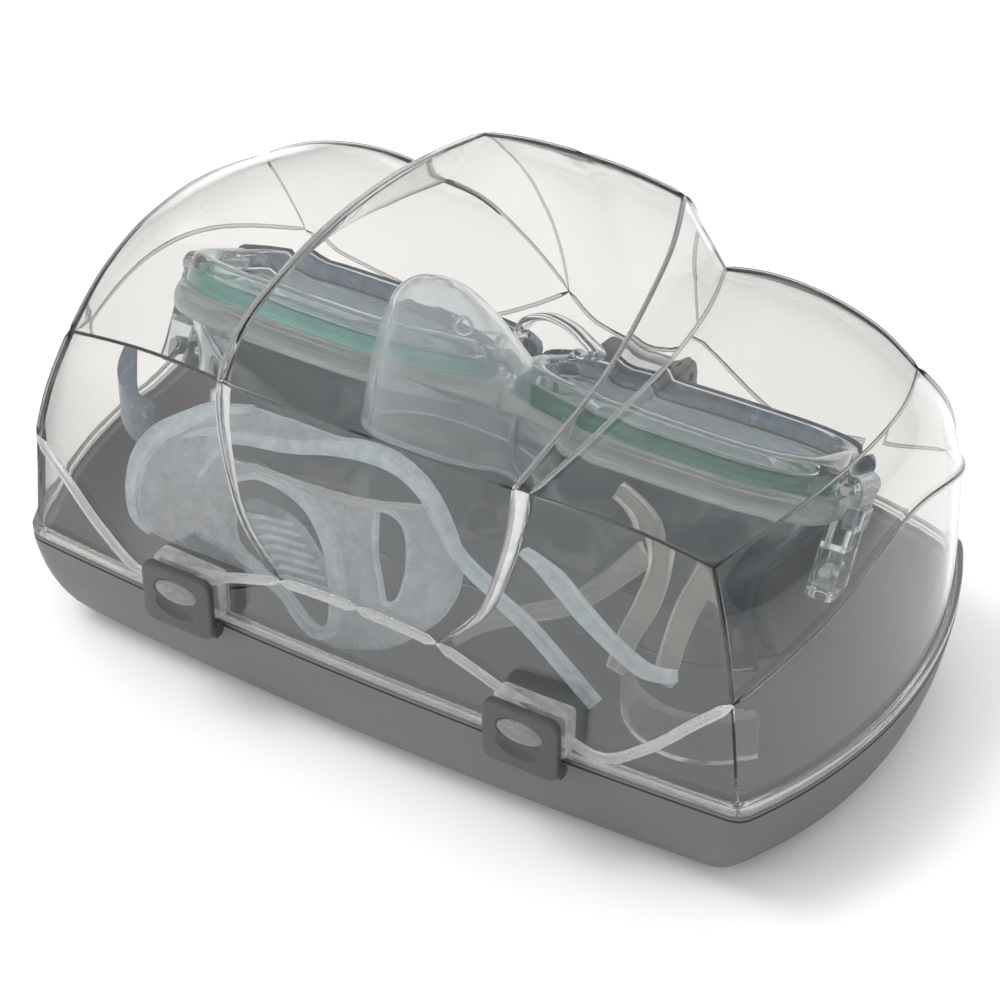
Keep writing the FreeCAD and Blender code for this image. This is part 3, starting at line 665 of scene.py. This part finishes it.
def tube(net, path, radius, sides=10, closed=False, flat=1.0):
    """Adds a round bead along a line of points; unless it is closed, its ends taper to a quarter of its radius and are
    capped.
    """
    p = np.asarray(path, float)
    if closed:
        ahead = np.roll(p, -1, axis=0) - np.roll(p, 1, axis=0)
    else:
        ahead = np.gradient(p, axis=0)
    ahead /= np.linalg.norm(ahead, axis=1)[:, None]
    side = np.cross(ahead, (0.12, 0.21, 0.97))
    side /= np.linalg.norm(side, axis=1)[:, None]
    over = np.cross(side, ahead)
    turn = np.linspace(0, 2 * math.pi, sides, endpoint=False)
    size = np.full(len(p), float(radius))
    if not closed:
        size[0] = size[-1] = 0.25 * radius
    loops = np.stack([q + r * (np.cos(turn)[:, None] * f + flat * np.sin(turn)[:, None] * o)
                      for q, f, o, r in zip(p, side, over, size)])
    base = sum(len(q) for q in net.points)
    rings(net, loops, close=closed)
    if not closed:
        first = base + np.arange(sides)
        last = first + (len(p) - 1) * sides
        net.faces += [tuple(first[::-1].tolist()), tuple(last.tolist())]
    return net


def shade_by_angle(obj, degrees):
    bm = bmesh.new()
    bm.from_mesh(obj.data)
    for edge in bm.edges:
        edge.smooth = len(edge.link_faces) != 2 or edge.calc_face_angle() < math.radians(degrees)
    bm.to_mesh(obj.data)
    bm.free()
    return obj


# ---------------------------------------------------------------- the tray

TRAY_LOOP = 320


def tray_loop(inset, z):
    """The tray's plan outline at one inset and height, its four corners a little rounded."""
    fx, rx = 93.0 - inset, 93.0 - inset
    fy, ry = -57.0 + inset, 52.0 - inset
    front = rim_arc((-fx, fy), (0, -60.5 + inset), (fx, fy), 60)
    right = rim_arc((fx, fy), (BULGE_X - inset, 5.5), (rx, ry), 60)
    rear = rim_arc((rx, ry), (0, 64.0 - inset), (-rx, ry), 60)
    left = rim_arc((-rx, ry), (inset - BULGE_X, 5.5), (-fx, fy), 60)
    loop = np.vstack([front[:-1], right[:-1], rear[:-1], left[:-1]])
    dense = soften_loop(even_loop(loop, 4 * TRAY_LOOP), 6)
    return at_height(even_loop(dense, TRAY_LOOP), z)


TRAY_OUTSIDE = [
    (40, -27.0), (14.0, -27.0), (12.2, -26.9), (10.9, -26.5), (9.3, -25.5), (7.0, -23.2), (5.2, -20.6),
    (3.6, -17.3), (2.3, -13.6), (1.35, -10.0), (0.7, -6.6), (0.25, -3.6), (0.05, -1.9), (0.0, -1.5), (0.5, -1.4),
    (0.6, -1.2), (0.5, -1.0), (0.0, -0.9), (0.0, -0.35), (0.25, 0.0),
]
TRAY_INSIDE = [
    (1.5, 0.0), (1.8, -0.3), (1.9, -2.2), (2.8, -2.4), (3.1, -2.7), (3.2, -6.0), (3.9, -10.0), (5.2, -14.0),
    (7.2, -17.6), (9.6, -20.6), (12.3, -22.8), (15.5, -24.1), (19.0, -24.6), (40, -24.6),
]


def make_tray():
    net = Net()
    profile = TRAY_OUTSIDE + TRAY_INSIDE
    rings(net, [tray_loop(inset, z) for inset, z in profile])
    cap(net, 0, TRAY_LOOP, flip=True)
    cap(net, len(profile) - 1, TRAY_LOOP)
    tray = net.object("tray")
    lugs = []
    for side in (-1, 1):
        x0, x1 = sorted((side * 6.0, side * 12.0))
        lugs.append(rounded_box("lug", (x0, 62.4, -12), (x1, 72.0, 12.4), 3.3, 0.5, axis=0, segments=8))
        x = side * 44.6
        lugs.append(rounded_box("tongue", (x - 5.7, -63.3, -2.5), (x + 5.7, -57.4, -0.3), 1.0, 0.25, axis=0))
    return shade_by_angle(join("case_tray", tray, *lugs), 40)


# ---------------------------------------------------------------- the mask

MASK_CENTRE = np.array([0.0, 6.8, 38.0])
MASK_ROLL = math.radians(3)
MASK_TILT = math.radians(-29)
MASK_YAW = math.radians(5)


def from_mask(points):
    """Mask coordinates (x across the face, y towards the brow, z out of the lenses) to the case's."""
    p = np.asarray(points, float)
    c, s = math.cos(MASK_ROLL), math.sin(MASK_ROLL)
    x, y, z = p[..., 0] * c + p[..., 2] * s, p[..., 1], p[..., 2] * c - p[..., 0] * s
    c, s = math.cos(MASK_TILT), math.sin(MASK_TILT)
    y, z = y * c - z * s, y * s + z * c
    c, s = math.cos(MASK_YAW), math.sin(MASK_YAW)
    return np.stack([x * c - y * s, x * s + y * c, z], axis=-1) + MASK_CENTRE


LOBE_LOOP = 140


def lobe_loop(side, grow, z):
    """Outline of one eyepiece, grown by some millimetres, at one height over the lens plane."""
    x0, x1 = sorted((side * (4.0 - grow), side * (79.0 + grow)))
    y0, y1 = -30.0 - grow, 30.0 + grow
    inner, outer = 27.0 + grow, 21.0 + grow
    radii = (outer, outer, inner - 6, inner) if side > 0 else (inner, inner - 6, outer, outer)
    plan = even_loop(rounded_loop(x0, x1, y0, y1, radii), LOBE_LOOP)
    start = np.argmin(plan @ np.array([side * -0.2, -1.0]))
    plan = np.roll(plan, -start, axis=0)
    return np.column_stack([plan, np.full(len(plan), float(z))])


def lobe_ring(name, side, profile, weld=0.01):
    """A closed ring round one eyepiece, with the given (grow, height) cross-section."""
    net = Net()
    rings(net, [from_mask(lobe_loop(side, grow, z)) for grow, z in profile], close=True)
    return net.object(name, weld)


FRAME_PROFILE = [
    (0.2, 0.2), (0.7, 0.8), (0.9, 2.0), (0.9, 5.6), (0.5, 7.2), (-0.4, 8.0), (-1.4, 8.2), (-3.4, 8.2), (-4.3, 7.8),
    (-4.8, 6.8), (-5.0, 4.6), (-5.4, 3.9), (-6.4, 3.6), (-6.9, 3.0), (-6.9, 0.8), (-6.4, 0.2), (-4.0, 0.0),
]
EDGE_PROFILE = [(-0.2, 0.8), (-0.1, 1.4), (-0.1, 3.6), (-0.6, 4.4), (-1.6, 4.6), (-1.9, 3.8), (-1.9, 1.4), (-1.4, 0.8)]
COLLAR_PROFILE = [
    (1.6, -5.4), (2.4, -4.6), (2.8, -3.0), (2.8, -1.2), (2.3, 0.2), (1.3, 0.9), (0.9, 0.2), (0.0, -0.6), (-3.0, -0.8),
    (-4.0, -1.8), (-2.0, -4.0), (0.2, -5.2),
]


def make_lens(side, word):
    net = Net()
    profile = [(-7.4, 0.6), (-7.2, 0.5), (-7.1, 0.8), (-7.1, 3.2), (-7.3, 3.5)]
    loops = [from_mask(lobe_loop(side, g, z)) for g, z in profile]
    rings(net, loops)
    cap(net, 0, LOBE_LOOP, flip=True)
    cap(net, len(loops) - 1, LOBE_LOOP)
    return net.object("lens_plate_" + word)


def skirt_loop(z, n=260):
    """Outline of the skirt at one height, with the soft folds of its wall."""
    levels = np.array([-44.0, -33.0, -22.0, -6.0, 0.0])
    half = np.interp(z, levels, [70.0, 67.4, 67.4, 75.6, 78.5])
    front = np.interp(z, levels, [-21.0, -22.5, -24.5, -28.5, -29.5])
    rear = np.interp(z, levels, [32.0, 28.5, 25.5, 28.0, 29.5])
    plan = even_loop(rounded_loop(-half, half, front, rear, (20, 20, 20, 20)), n)
    ahead = np.roll(plan, -1, axis=0) - np.roll(plan, 1, axis=0)
    normal = np.column_stack([ahead[:, 1], -ahead[:, 0]])
    normal /= np.linalg.norm(normal, axis=1)[:, None]
    t = np.linspace(0, 2 * math.pi, n, endpoint=False)
    depth = np.clip(-z / 20.0, 0, 1)
    wave = 1.7 * np.sin(9 * t + 0.07 * z + 1.2 * np.sin(0.09 * z)) + 1.0 * np.sin(17 * t - 0.11 * z)
    wave += 0.7 * np.sin(5 * t + 0.2 * z)
    swell = 1.8 * math.sin(-z * 0.16)
    return np.column_stack([plan + normal * (depth * (wave + swell))[:, None], np.full(n, float(z))])


def make_skirt():
    net = Net()
    heights = list(np.linspace(-1.5, -42.5, 40))
    rings(net, [from_mask(skirt_loop(z)) for z in heights])
    skirt = net.object("skirt_wall")
    add_modifier(skirt, "SOLIDIFY", thickness=1.7 * MM, offset=0)
    return apply_modifiers(skirt)


NOSE_SECTIONS = [          # height, front y, rear y, half width, middle x
    (-14, -38, 5, 20.0, -3.6), (-6, -41, 4, 19.4, -4.0), (0, -42.5, 0, 18.4, -4.6), (6, -43.5, -5, 16.6, -5.4),
    (11, -43.7, -12, 14.2, -6.6), (15, -43.3, -18, 11.8, -7.6), (18, -42.2, -23, 9.2, -8.4),
    (20, -40.3, -27, 6.8, -9.0), (21.2, -37.6, -30, 4.4, -9.2), (21.6, -35.6, -32, 2.0, -9.2),
]


NOSE_MARK = (0.2, -39.5, 14.5)   # middle of the small round moulding mark near the top


def make_nose():
    """The nose pocket: a steep front, a gentle back towards the brow and a round top."""
    net = Net()
    n = 72
    t = np.linspace(0, 2 * math.pi, n, endpoint=False)
    h = np.array([s[0] for s in NOSE_SECTIONS], float)
    loops = []
    for z in np.concatenate([np.linspace(-14, 15, 26), 15 + 6.6 * np.sin(np.linspace(0.08, math.pi / 2, 16))]):
        front, rear, half, centre = (np.interp(z, h, [s[k] for s in NOSE_SECTIONS]) for k in (1, 2, 3, 4))
        mid, reach = (front + rear) / 2, (rear - front) / 2
        x = centre + half * np.sign(np.cos(t)) * np.abs(np.cos(t)) ** 0.86
        y = mid + reach * np.sign(np.sin(t)) * np.abs(np.sin(t)) ** 0.86
        loops.append(from_mask(np.column_stack([x, y, np.full(n, z)])))
    rings(net, loops)
    cap(net, len(loops) - 1, n)
    nose = net.object("nose_wall")
    add_modifier(nose, "SMOOTH", iterations=6, factor=0.5)
    add_modifier(nose, "SOLIDIFY", thickness=1.6 * MM, offset=0)
    return apply_modifiers(nose)


# The curled clip over the bridge, seen from below the mask: x and height over the lens plane
CURL_LINE = [(-7.2, 8.6), (-6.4, 12.0), (-2.2, 14.6), (3.6, 14.4), (8.6, 12.4), (11.4, 10.2), (9.8, 8.8), (7.2, 9.0)]
CURL_Y = 12.5


def make_curl(name):
    """A clear strip curled like an S over the bridge; its width runs towards the brow."""
    path = spline([(x, CURL_Y, z) for x, z in CURL_LINE], 70)
    ahead = np.gradient(path, axis=0)
    ahead /= np.linalg.norm(ahead, axis=1)[:, None]
    out = np.cross(ahead, (0.0, 1.0, 0.0))
    turn = np.linspace(0, 2 * math.pi, 20, endpoint=False)
    across = 3.6 * np.sign(np.cos(turn)) * np.abs(np.cos(turn)) ** 0.5
    through = 0.95 * np.sign(np.sin(turn)) * np.abs(np.sin(turn)) ** 0.8
    net = Net()
    loops = [from_mask(p + across[:, None] * np.array([0.0, 1.0, 0.0]) + through[:, None] * o) for p, o in zip(path, out)]
    rings(net, loops)
    cap(net, 0, 20, flip=True)
    cap(net, len(loops) - 1, 20)
    return net.object(name)


def part_ring(name, side, profile, keep_when):
    """A length of ring round one eyepiece, where keep_when(y) holds for its outline."""
    loop = lobe_loop(side, 0.0, 0.0)
    keep = np.where(keep_when(loop[:, 1]))[0]
    gap = np.where(np.diff(keep) > 1)[0]
    if len(gap):
        keep = np.concatenate([keep[gap[0] + 1:], keep[: gap[0] + 1]])
    rows = np.stack([from_mask(lobe_loop(side, g, z)[keep]) for g, z in profile], axis=1)
    rows = np.concatenate([rows, rows[:, :1]], axis=1)
    net = Net()
    net.patch(rows)
    m = len(profile)
    base = len(net.points[0])
    net.points.append(np.vstack([rows[0, :m], rows[-1, :m]]))
    net.faces += [tuple(range(base, base + m)), tuple(range(base + 2 * m - 1, base + m - 1, -1))]
    return net.object(name)


BROW_PROFILE = [
    (1.2, 2.2), (2.4, 2.4), (3.0, 3.4), (3.0, 6.4), (2.4, 7.6), (0.9, 8.5), (-0.4, 8.8), (-0.7, 8.3), (0.6, 7.6),
    (1.2, 6.0),
]


# ---------------------------------------------------------------- the strap

STRAP_LEAN = math.radians(70)
STRAP_MIDDLE = np.array([0.0, -44.6, 4.0])


def from_strap(points, forward=0.0):
    """Strap-plane millimetres (x, up along the lean, forward out of it) to the case's."""
    p = np.asarray(points, float)
    x, s = p[..., 0], p[..., 1]
    d = (p[..., 2] if p.shape[-1] > 2 else 0.0) + forward
    c, k = math.cos(STRAP_LEAN), math.sin(STRAP_LEAN)
    return np.stack([x, s * c - d * k, s * k + d * c], axis=-1) + STRAP_MIDDLE


def ribbon(name, line, widths, thick, forward, tilt=0.0, n=80):
    """A soft band whose middle follows line in the strap's plane; tilt turns it edge-on."""
    path = spline([(p[0], p[1], p[2] if len(p) > 2 else 0.0) for p in line], n)
    wide = np.interp(np.linspace(0, 1, n + 1), np.linspace(0, 1, len(widths)), widths)
    ahead = np.gradient(path, axis=0)
    ahead /= np.linalg.norm(ahead, axis=1)[:, None]
    flat = np.cross(ahead, (0.0, 0.0, 1.0))
    flat /= np.linalg.norm(flat, axis=1)[:, None]
    out = np.cross(flat, ahead)
    c, s = math.cos(tilt), math.sin(tilt)
    flat, out = c * flat + s * out, c * out - s * flat
    turn = np.linspace(0, 2 * math.pi, 20, endpoint=False)
    loops = []
    for p, f, o, w in zip(path, flat, out, wide):
        across = np.sign(np.cos(turn)) * np.abs(np.cos(turn)) ** 0.45 * w / 2
        through = np.sign(np.sin(turn)) * np.abs(np.sin(turn)) ** 0.75 * thick / 2
        rim = 1 + 0.5 * (np.abs(across) > 0.36 * w)
        loops.append(from_strap(p + across[:, None] * f + (through * rim)[:, None] * o, forward))
    net = Net()
    rings(net, loops)
    cap(net, 0, 20, flip=True)
    cap(net, len(loops) - 1, 20)
    return net.object(name)


def closed_curve(points, n):
    """A smooth closed line through plan points, as n evenly spaced points."""
    p = np.asarray(points, float)
    t = np.linspace(0, 1, 12, endpoint=False)[:, None]
    runs = []
    for i in range(len(p)):
        a, b, c, d = p[i - 1], p[i], p[(i + 1) % len(p)], p[(i + 2) % len(p)]
        runs.append(0.5 * (2 * b + (c - a) * t + (2 * a - 5 * b + 4 * c - d) * t**2 + (3 * b - a - 3 * c + d) * t**3))
    return even_loop(np.vstack(runs), n)


def strap_bow(x, s):
    """How far the folded strap stands forward of its plane."""
    return 1.8 * np.sin(0.05 * x + 0.6) + 1.0 * np.sin(0.09 * s + 0.03 * x)


def strap_plate(name, outline, holes, thick, forward, voxel=0.7):
    """A soft plate in the strap's plane with openings, remeshed so that it can bow."""
    curve = bpy.data.curves.new(name, "CURVE")
    curve.dimensions = "2D"
    curve.fill_mode = "BOTH"
    curve.extrude = 0.5 * thick * MM
    for loop in [outline, *holes]:
        points = closed_curve(loop, 160)
        line = curve.splines.new("POLY")
        line.points.add(len(points) - 1)
        for point, (x, s) in zip(line.points, points):
            point.co = (x * MM, s * MM, 0.0, 1.0)
        line.use_cyclic_u = True
    flat = link("flat", curve)
    graph = bpy.context.evaluated_depsgraph_get()
    mesh = bpy.data.meshes.new_from_object(flat.evaluated_get(graph), depsgraph=graph)
    bpy.data.objects.remove(flat)
    plate = link(name, mesh)
    add_modifier(plate, "WELD", merge_threshold=0.001 * MM)
    add_modifier(plate, "REMESH", mode="VOXEL", voxel_size=voxel * MM, use_smooth_shade=True)
    add_modifier(plate, "SMOOTH", iterations=8, factor=0.6)
    apply_modifiers(plate)
    co = np.array([v.co for v in plate.data.vertices]) / MM
    co[:, 2] += forward + strap_bow(co[:, 0], co[:, 1])
    for vertex, place in zip(plate.data.vertices, to_row(from_strap(co))):
        vertex.co = place
    return plate


def soft_copy(node, name, voxel, smooth, inset):
    """A moulded version of a CAD node: the same shape, inset a little, with every edge rounded over."""
    piece = link(name, frame["nodes"][node].data.copy())
    add_modifier(piece, "REMESH", mode="VOXEL", voxel_size=voxel * MM, use_smooth_shade=True)
    add_modifier(piece, "SMOOTH", iterations=smooth, factor=0.6)
    add_modifier(piece, "DISPLACE", strength=-inset * MM, mid_level=0.0)
    return apply_modifiers(piece)


# ---------------------------------------------------------------- putting it together

make_camera()
make_stage()
render_limits()

lid_net, lid_creases = make_lid()
lid = lid_net.object("lid_shell", weld=0.3)
lid.data.materials.append(LID_CLEAR)
# Second material: the painted reflection on the step faces.
lid.data.materials.append(STEP_PAINTED_REFLECTION)
add_modifier(lid, "SOLIDIFY", thickness=LID_WALL * MM, offset=-1, use_quality_normals=True)
apply_modifiers(lid)
shade_by_angle(lid, 22)
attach(lid, "lid")
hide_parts("case_lid")

# Beads along the lid's creases: the darker tint of the plain beads is painted shade, and the pale haze of the arch and
# crest beads is a painted highlight.
BEAD_RADIUS = {"arch": 1.25, "low": 0.6, "corner": 0.6, "crest": 0.6, "high": 0.42}
BEAD_LOOK = {"arch": ARCH_HIGHLIGHT_CLEAR, "crest": CREST_HIGHLIGHT_CLEAR}
for place, lines in lid_creases.items():
    net = Net()
    for line in lines:
        for mirror in (1, -1):
            tube(net, line * (mirror, 1, 1), BEAD_RADIUS[place])
    beads = net.object("lid_creases_" + place, weld=0.001)
    finish_piece(beads, BEAD_LOOK.get(place, CREASE_SHADE_CLEAR), "lid", "lid_clear")

flange = Net()
FLANGE_PROFILE = [
    (2.3, 0.25), (0.15, 0.2), (-0.05, 0.4), (-0.05, 1.5), (0.15, 1.75), (0.9, 1.8), (1.2, 2.2), (1.9, 2.3), (2.3, 2.0),
]
rings(flange, [tray_loop(i, z) for i, z in FLANGE_PROFILE], close=True)
flange = flange.object("lid_flange")
finish_piece(shade_by_angle(flange, 50), FLANGE_CLEAR, "lid", "lid_clear")
# The knuckle's clear moulding carries the painted glints.
knuckle = rounded_box("lid_knuckle", (-5.6, 57.0, 5.6), (5.6, 71.9, 12.4), 3.2, 0.4, axis=0, segments=8)
finish_piece(knuckle, LUG_CLEAR_PAINTED_GLINTS, "lid", "lid_clear")

tray = make_tray()
finish_piece(tray, GREY, "case", "case_grey", "case_base")

for side, word in ((-1, "left"), (1, "right")):
    x = side * 44.6
    plate = rounded_box("latch_cover_" + word, (x - 9.3, -65.5, -2.4), (x + 9.3, -63.3, 13.8), 2.6, 0.55, segments=6)
    hood = rounded_box("hood", (x - 9.3, -64.4, 11.4), (x + 9.3, -61.6, 13.8), 1.0, 0.45, segments=4)
    plate = join("latch_cover_" + word, plate, hood)
    cut_away(plate, ellipsoid("scoop", (x, -66.5, 4.1), (6.4, 2.4, 3.6)))
    cut_away(plate, ellipsoid("dish", (x, -66.2, 8.0), (6.6, 1.9, 3.6)))
    ears = []
    for end in (-1, 1):
        x0, x1 = sorted((x + end * 6.0, x + end * 9.2))
        ears.append(rounded_box("ear", (x0, -64.2, -2.7), (x1, -60.5, 0.3), 1.3, 0.3, axis=0))
    plate = join("latch_cover_" + word, plate, *ears)
    finish_piece(shade_by_angle(plate, 35), LATCH_GREY, "latch_" + word, "case_grey", "latch_plate_" + word)
    button = ellipsoid("latch_oval_" + word, (x, -65.1, 8.0), (5.6, 1.5, 2.8))
    finish_piece(button, BUTTON_CLEAR, "latch_" + word, "lid_clear", "latch_button_" + word)
    lug = rounded_box("lid_lug_" + word, (x - 9.0, -61.2, 1.0), (x + 9.0, -56.5, 12.9), 1.2, 0.5)
    finish_piece(lug, LUG_CLEAR_PAINTED_GLINTS, "lid", "lid_clear")

    ring = lobe_ring("frame_ring_" + word, side, FRAME_PROFILE)
    finish_piece(shade_by_angle(ring, 60), FRAME_CLEAR, "case", "lid_clear")
    edge = part_ring("lens_edge_" + word, side, EDGE_PROFILE, lambda y: y < -6.0)
    # The left lens edge is painted lit, the right lens edge painted shaded.
    finish_piece(edge, LENS_EDGE_LIT if side < 0 else LENS_EDGE_SHADED, "case", "lens_glass")
    lens = make_lens(side, word)
    finish_piece(shade_by_angle(lens, 40), LENS_CLEAR, "case", "lens_glass", "lens_" + word, "lens_retainer_" + word)
    collar = lobe_ring("skirt_collar_" + word, side, COLLAR_PROFILE)
    finish_piece(collar, COLLAR, "case", "skirt_silicone")
    band = part_ring("brow_band_" + word, side, BROW_PROFILE, lambda y: y > 8.0)
    finish_piece(band, TRIM_DARK, "case", "trim_rubber")

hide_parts("mask_frame")
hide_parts("brow_trim")
skirt = make_skirt()
finish_piece(skirt, SILICONE, "case", "skirt_silicone", "mask_skirt")
nose = make_nose()
finish_piece(nose, NOSE_CLEAR, "case", "skirt_silicone")
turn = np.linspace(0, 2 * math.pi, 48, endpoint=False)
mark = np.column_stack([NOSE_MARK[0] + 1.9 * np.cos(turn), np.full(48, NOSE_MARK[1]), NOSE_MARK[2] + 1.7 * np.sin(turn)])
mark = tube(Net(), from_mask(mark), 0.42, closed=True).object("nose_mark")
finish_piece(mark, NOSE_CLEAR, "case", "skirt_silicone")

PLATE_OUTLINE = [
    (-68.0, -1.0), (-72.5, 4.4), (-74.8, 10.0), (-74.8, 15.5), (-71.8, 21.7), (-65.0, 28.3), (-56.2, 34.5),
    (-47.2, 36.0), (-35.8, 36.4), (-24.0, 36.6), (-13.0, 37.8), (-4.0, 37.6), (4.4, 34.6), (10.5, 29.0), (14.8, 22.5),
    (16.0, 15.5), (13.5, 8.0), (8.2, 1.4), (1.5, -4.6), (-6.6, -8.5), (-15.2, -10.9), (-23.4, -9.1), (-32.7, -4.8),
    (-41.1, -2.8), (-52.1, -2.4), (-61.6, -2.2),
]
BAND_HOLE = [
    (-47.7, 27.0), (-38.7, 28.6), (-28.0, 31.2), (-16.6, 34.0), (-8.5, 34.7), (-1.8, 33.9), (2.0, 31.9), (2.8, 30.2),
    (-2.1, 28.3), (-9.1, 26.9), (-21.4, 25.0), (-33.3, 24.0), (-40.8, 23.6), (-46.6, 23.8),
]
LOOP_HOLE = [
    (-44.4, 19.6), (-38.6, 20.2), (-32.5, 20.0), (-26.1, 17.7), (-21.2, 13.6), (-17.9, 7.9), (-16.2, 1.7),
    (-15.9, -4.4), (-18.4, -7.4), (-21.6, -7.0), (-25.5, -4.4), (-31.6, -1.0), (-38.7, 0.8), (-44.0, 3.4),
    (-46.4, 8.7), (-46.4, 14.6),
]
SLOT_HOLE = [
    (-8.2, 24.8), (-4.9, 25.5), (-1.0, 24.0), (1.2, 20.0), (2.2, 13.6), (1.0, 6.7), (-2.3, 4.7), (-4.3, 8.6),
    (-6.9, 15.1), (-8.0, 20.8),
]
plate = strap_plate("strap_plate", PLATE_OUTLINE, [BAND_HOLE, LOOP_HOLE, SLOT_HOLE], 2.0, 0.0)
finish_piece(plate, STRAP_MILK, "case", "strap_silicone", "head_strap_band")

RIB_PAD = [(-45, 13), (-38, 14.5), (-30, 12.5), (-21, 5), (-19, 0), (-26, -2.5), (-36, -1), (-43, 4)]
pad = strap_plate("strap_rib_pad", RIB_PAD, [], 1.6, -3.4)
finish_piece(pad, STRAP_MILK, "case", "strap_silicone")

rims = Net()
line = closed_curve(SLOT_HOLE, 160)
tube(rims, from_strap(np.column_stack([line, strap_bow(line[:, 0], line[:, 1])])), 0.75, closed=True, sides=12)
for k in range(7):
    ends = np.array([(-43.0 + 1.5 * k, 10.5 - 1.9 * k), (-31.5 + 2.1 * k, 12.0 - 1.9 * k)])
    line = ends[0] + np.linspace(0, 1, 12)[:, None] * (ends[1] - ends[0])
    depth = strap_bow(line[:, 0], line[:, 1]) - 2.4
    tube(rims, from_strap(np.column_stack([line, depth])), 0.5)
finish_piece(rims.object("strap_ridges", weld=0.001), STRAP_RIM, "case", "strap_silicone")

RIBBONS = {
    "strap_end_rim": ([(-46.0, 35.4), (-54.9, 32.6), (-63.6, 26.9), (-69.8, 21.2), (-72.9, 14.9), (-73.4, 7.2),
                       (-71.5, 1.8), (-67.0, -1.0)], (1.0, 2.6, 4.0, 4.6, 4.6, 4.0, 3.0, 1.6), 0.2, STRAP_RIM),
    "strap_tail": ([(-62.0, 24.0), (-54.3, 28.0), (-44.7, 29.2), (-34.1, 31.0), (-21.4, 34.6), (-12.4, 35.9),
                    (-3.1, 35.0), (2.9, 32.2), (7.8, 27.8), (12.4, 23.5), (17.4, 20.2), (25.0, 16.4), (33.6, 12.4),
                    (42.0, 7.2), (52.0, 0.6)],
                   (0.8, 2.4, 3.0, 3.2, 3.2, 3.2, 3.0, 2.8, 2.6, 2.6, 2.8, 3.0, 3.2, 3.2, 3.0), 0.2, STRAP_RIM),
    "strap_loop_rim": ([(-47.0, 18.0), (-41.5, 21.4), (-33.0, 21.6), (-24.9, 18.8), (-19.6, 13.2), (-16.6, 6.4),
                        (-15.0, -0.8), (-15.4, -6.6), (-19.0, -9.2), (-24.2, -7.6), (-30.2, -3.4), (-37.2, -1.0),
                        (-44.0, 0.6)], (0.8, 1.8, 2.6, 3.2, 3.8, 4.0, 4.0, 3.6, 3.0, 2.4, 2.0, 1.8, 0.8), 0.2, STRAP_RIM),
    "strap_branch": ([(-44.5, 23.0), (-33.3, 23.0), (-21.4, 24.0), (-9.1, 26.0), (0.0, 28.6), (5.0, 30.0)],
                     (0.8, 1.4, 1.4, 1.4, 1.4, 0.8), 0.2, STRAP_CREAM),
    "strap_leaf": ([(29.7, 28.5), (36.9, 25.5), (46.8, 19.5), (56.4, 14.8), (62.5, 12.9), (69.3, 14.0)],
                   (1.6, 4.2, 4.2, 3.6, 3.4, 2.8), 2.8, STRAP_RIM),
    "strap_cross": ([(54.2, 34.9), (45.8, 24.6), (39.8, 18.4), (30.0, 12.8), (20.1, 6.5), (13.8, 0.7)],
                    (5.5, 5.0, 4.5, 4.2, 4.0, 3.6), -2.8, STRAP_CREAM),
    "strap_drop": ([(46.1, 47.0), (53.4, 43.3), (58.4, 37.0), (57.9, 25.4), (55.4, 17.4), (54.0, 9.0)],
                   (4.0, 4.5, 5.0, 5.5, 5.0, 4.5), -1.0, STRAP_CREAM),
    "strap_rear": ([(70.2, 37.1), (67.6, 29.4), (66.0, 20.2), (65.5, 10.3)], (5.5, 5.5, 5.0, 5.0), -0.6, STRAP_CREAM),
}
for name, (line, widths, forward, look) in RIBBONS.items():
    if max(p[0] for p in line) < 60 and look is not STRAP_CREAM or name == "strap_branch":
        line = [(x, s, strap_bow(x, s)) for x, s in line]
    finish_piece(ribbon(name, line, widths, 2.4, forward), look, "case", "strap_silicone")

for side, word in ((-1, "left"), (1, "right")):
    buckle = soft_copy("buckle_" + word, "buckle_shell_" + word, 0.3, 3, 0.12)
    finish_piece(buckle, BUCKLE_CLEAR, "buckle_" + word, "lid_clear", "buckle_" + word)
    button = soft_copy("buckle_button_" + word, "release_pad_" + word, 0.25, 5, 0.2)
    finish_piece(button, BUCKLE_CLEAR, "release_" + word, "lid_clear", "buckle_button_" + word)
clip = make_curl("bridge_curl")
finish_piece(clip, FRAME_CLEAR, "case", "lid_clear", "bridge_clip")

for name, node in frame["nodes"].items():
    slot = next(s["material_slot"] for s in frame["record"]["subparts"] if s["node"] == name)
    look = {"case_grey": GREY, "steel": STEEL, "lid_clear": FRAME_CLEAR, "lens_glass": LENS_CLEAR,
            "skirt_silicone": SILICONE, "strap_silicone": STRAP_FAINT, "trim_rubber": TRIM_DARK}[slot]
    paint(node, look)
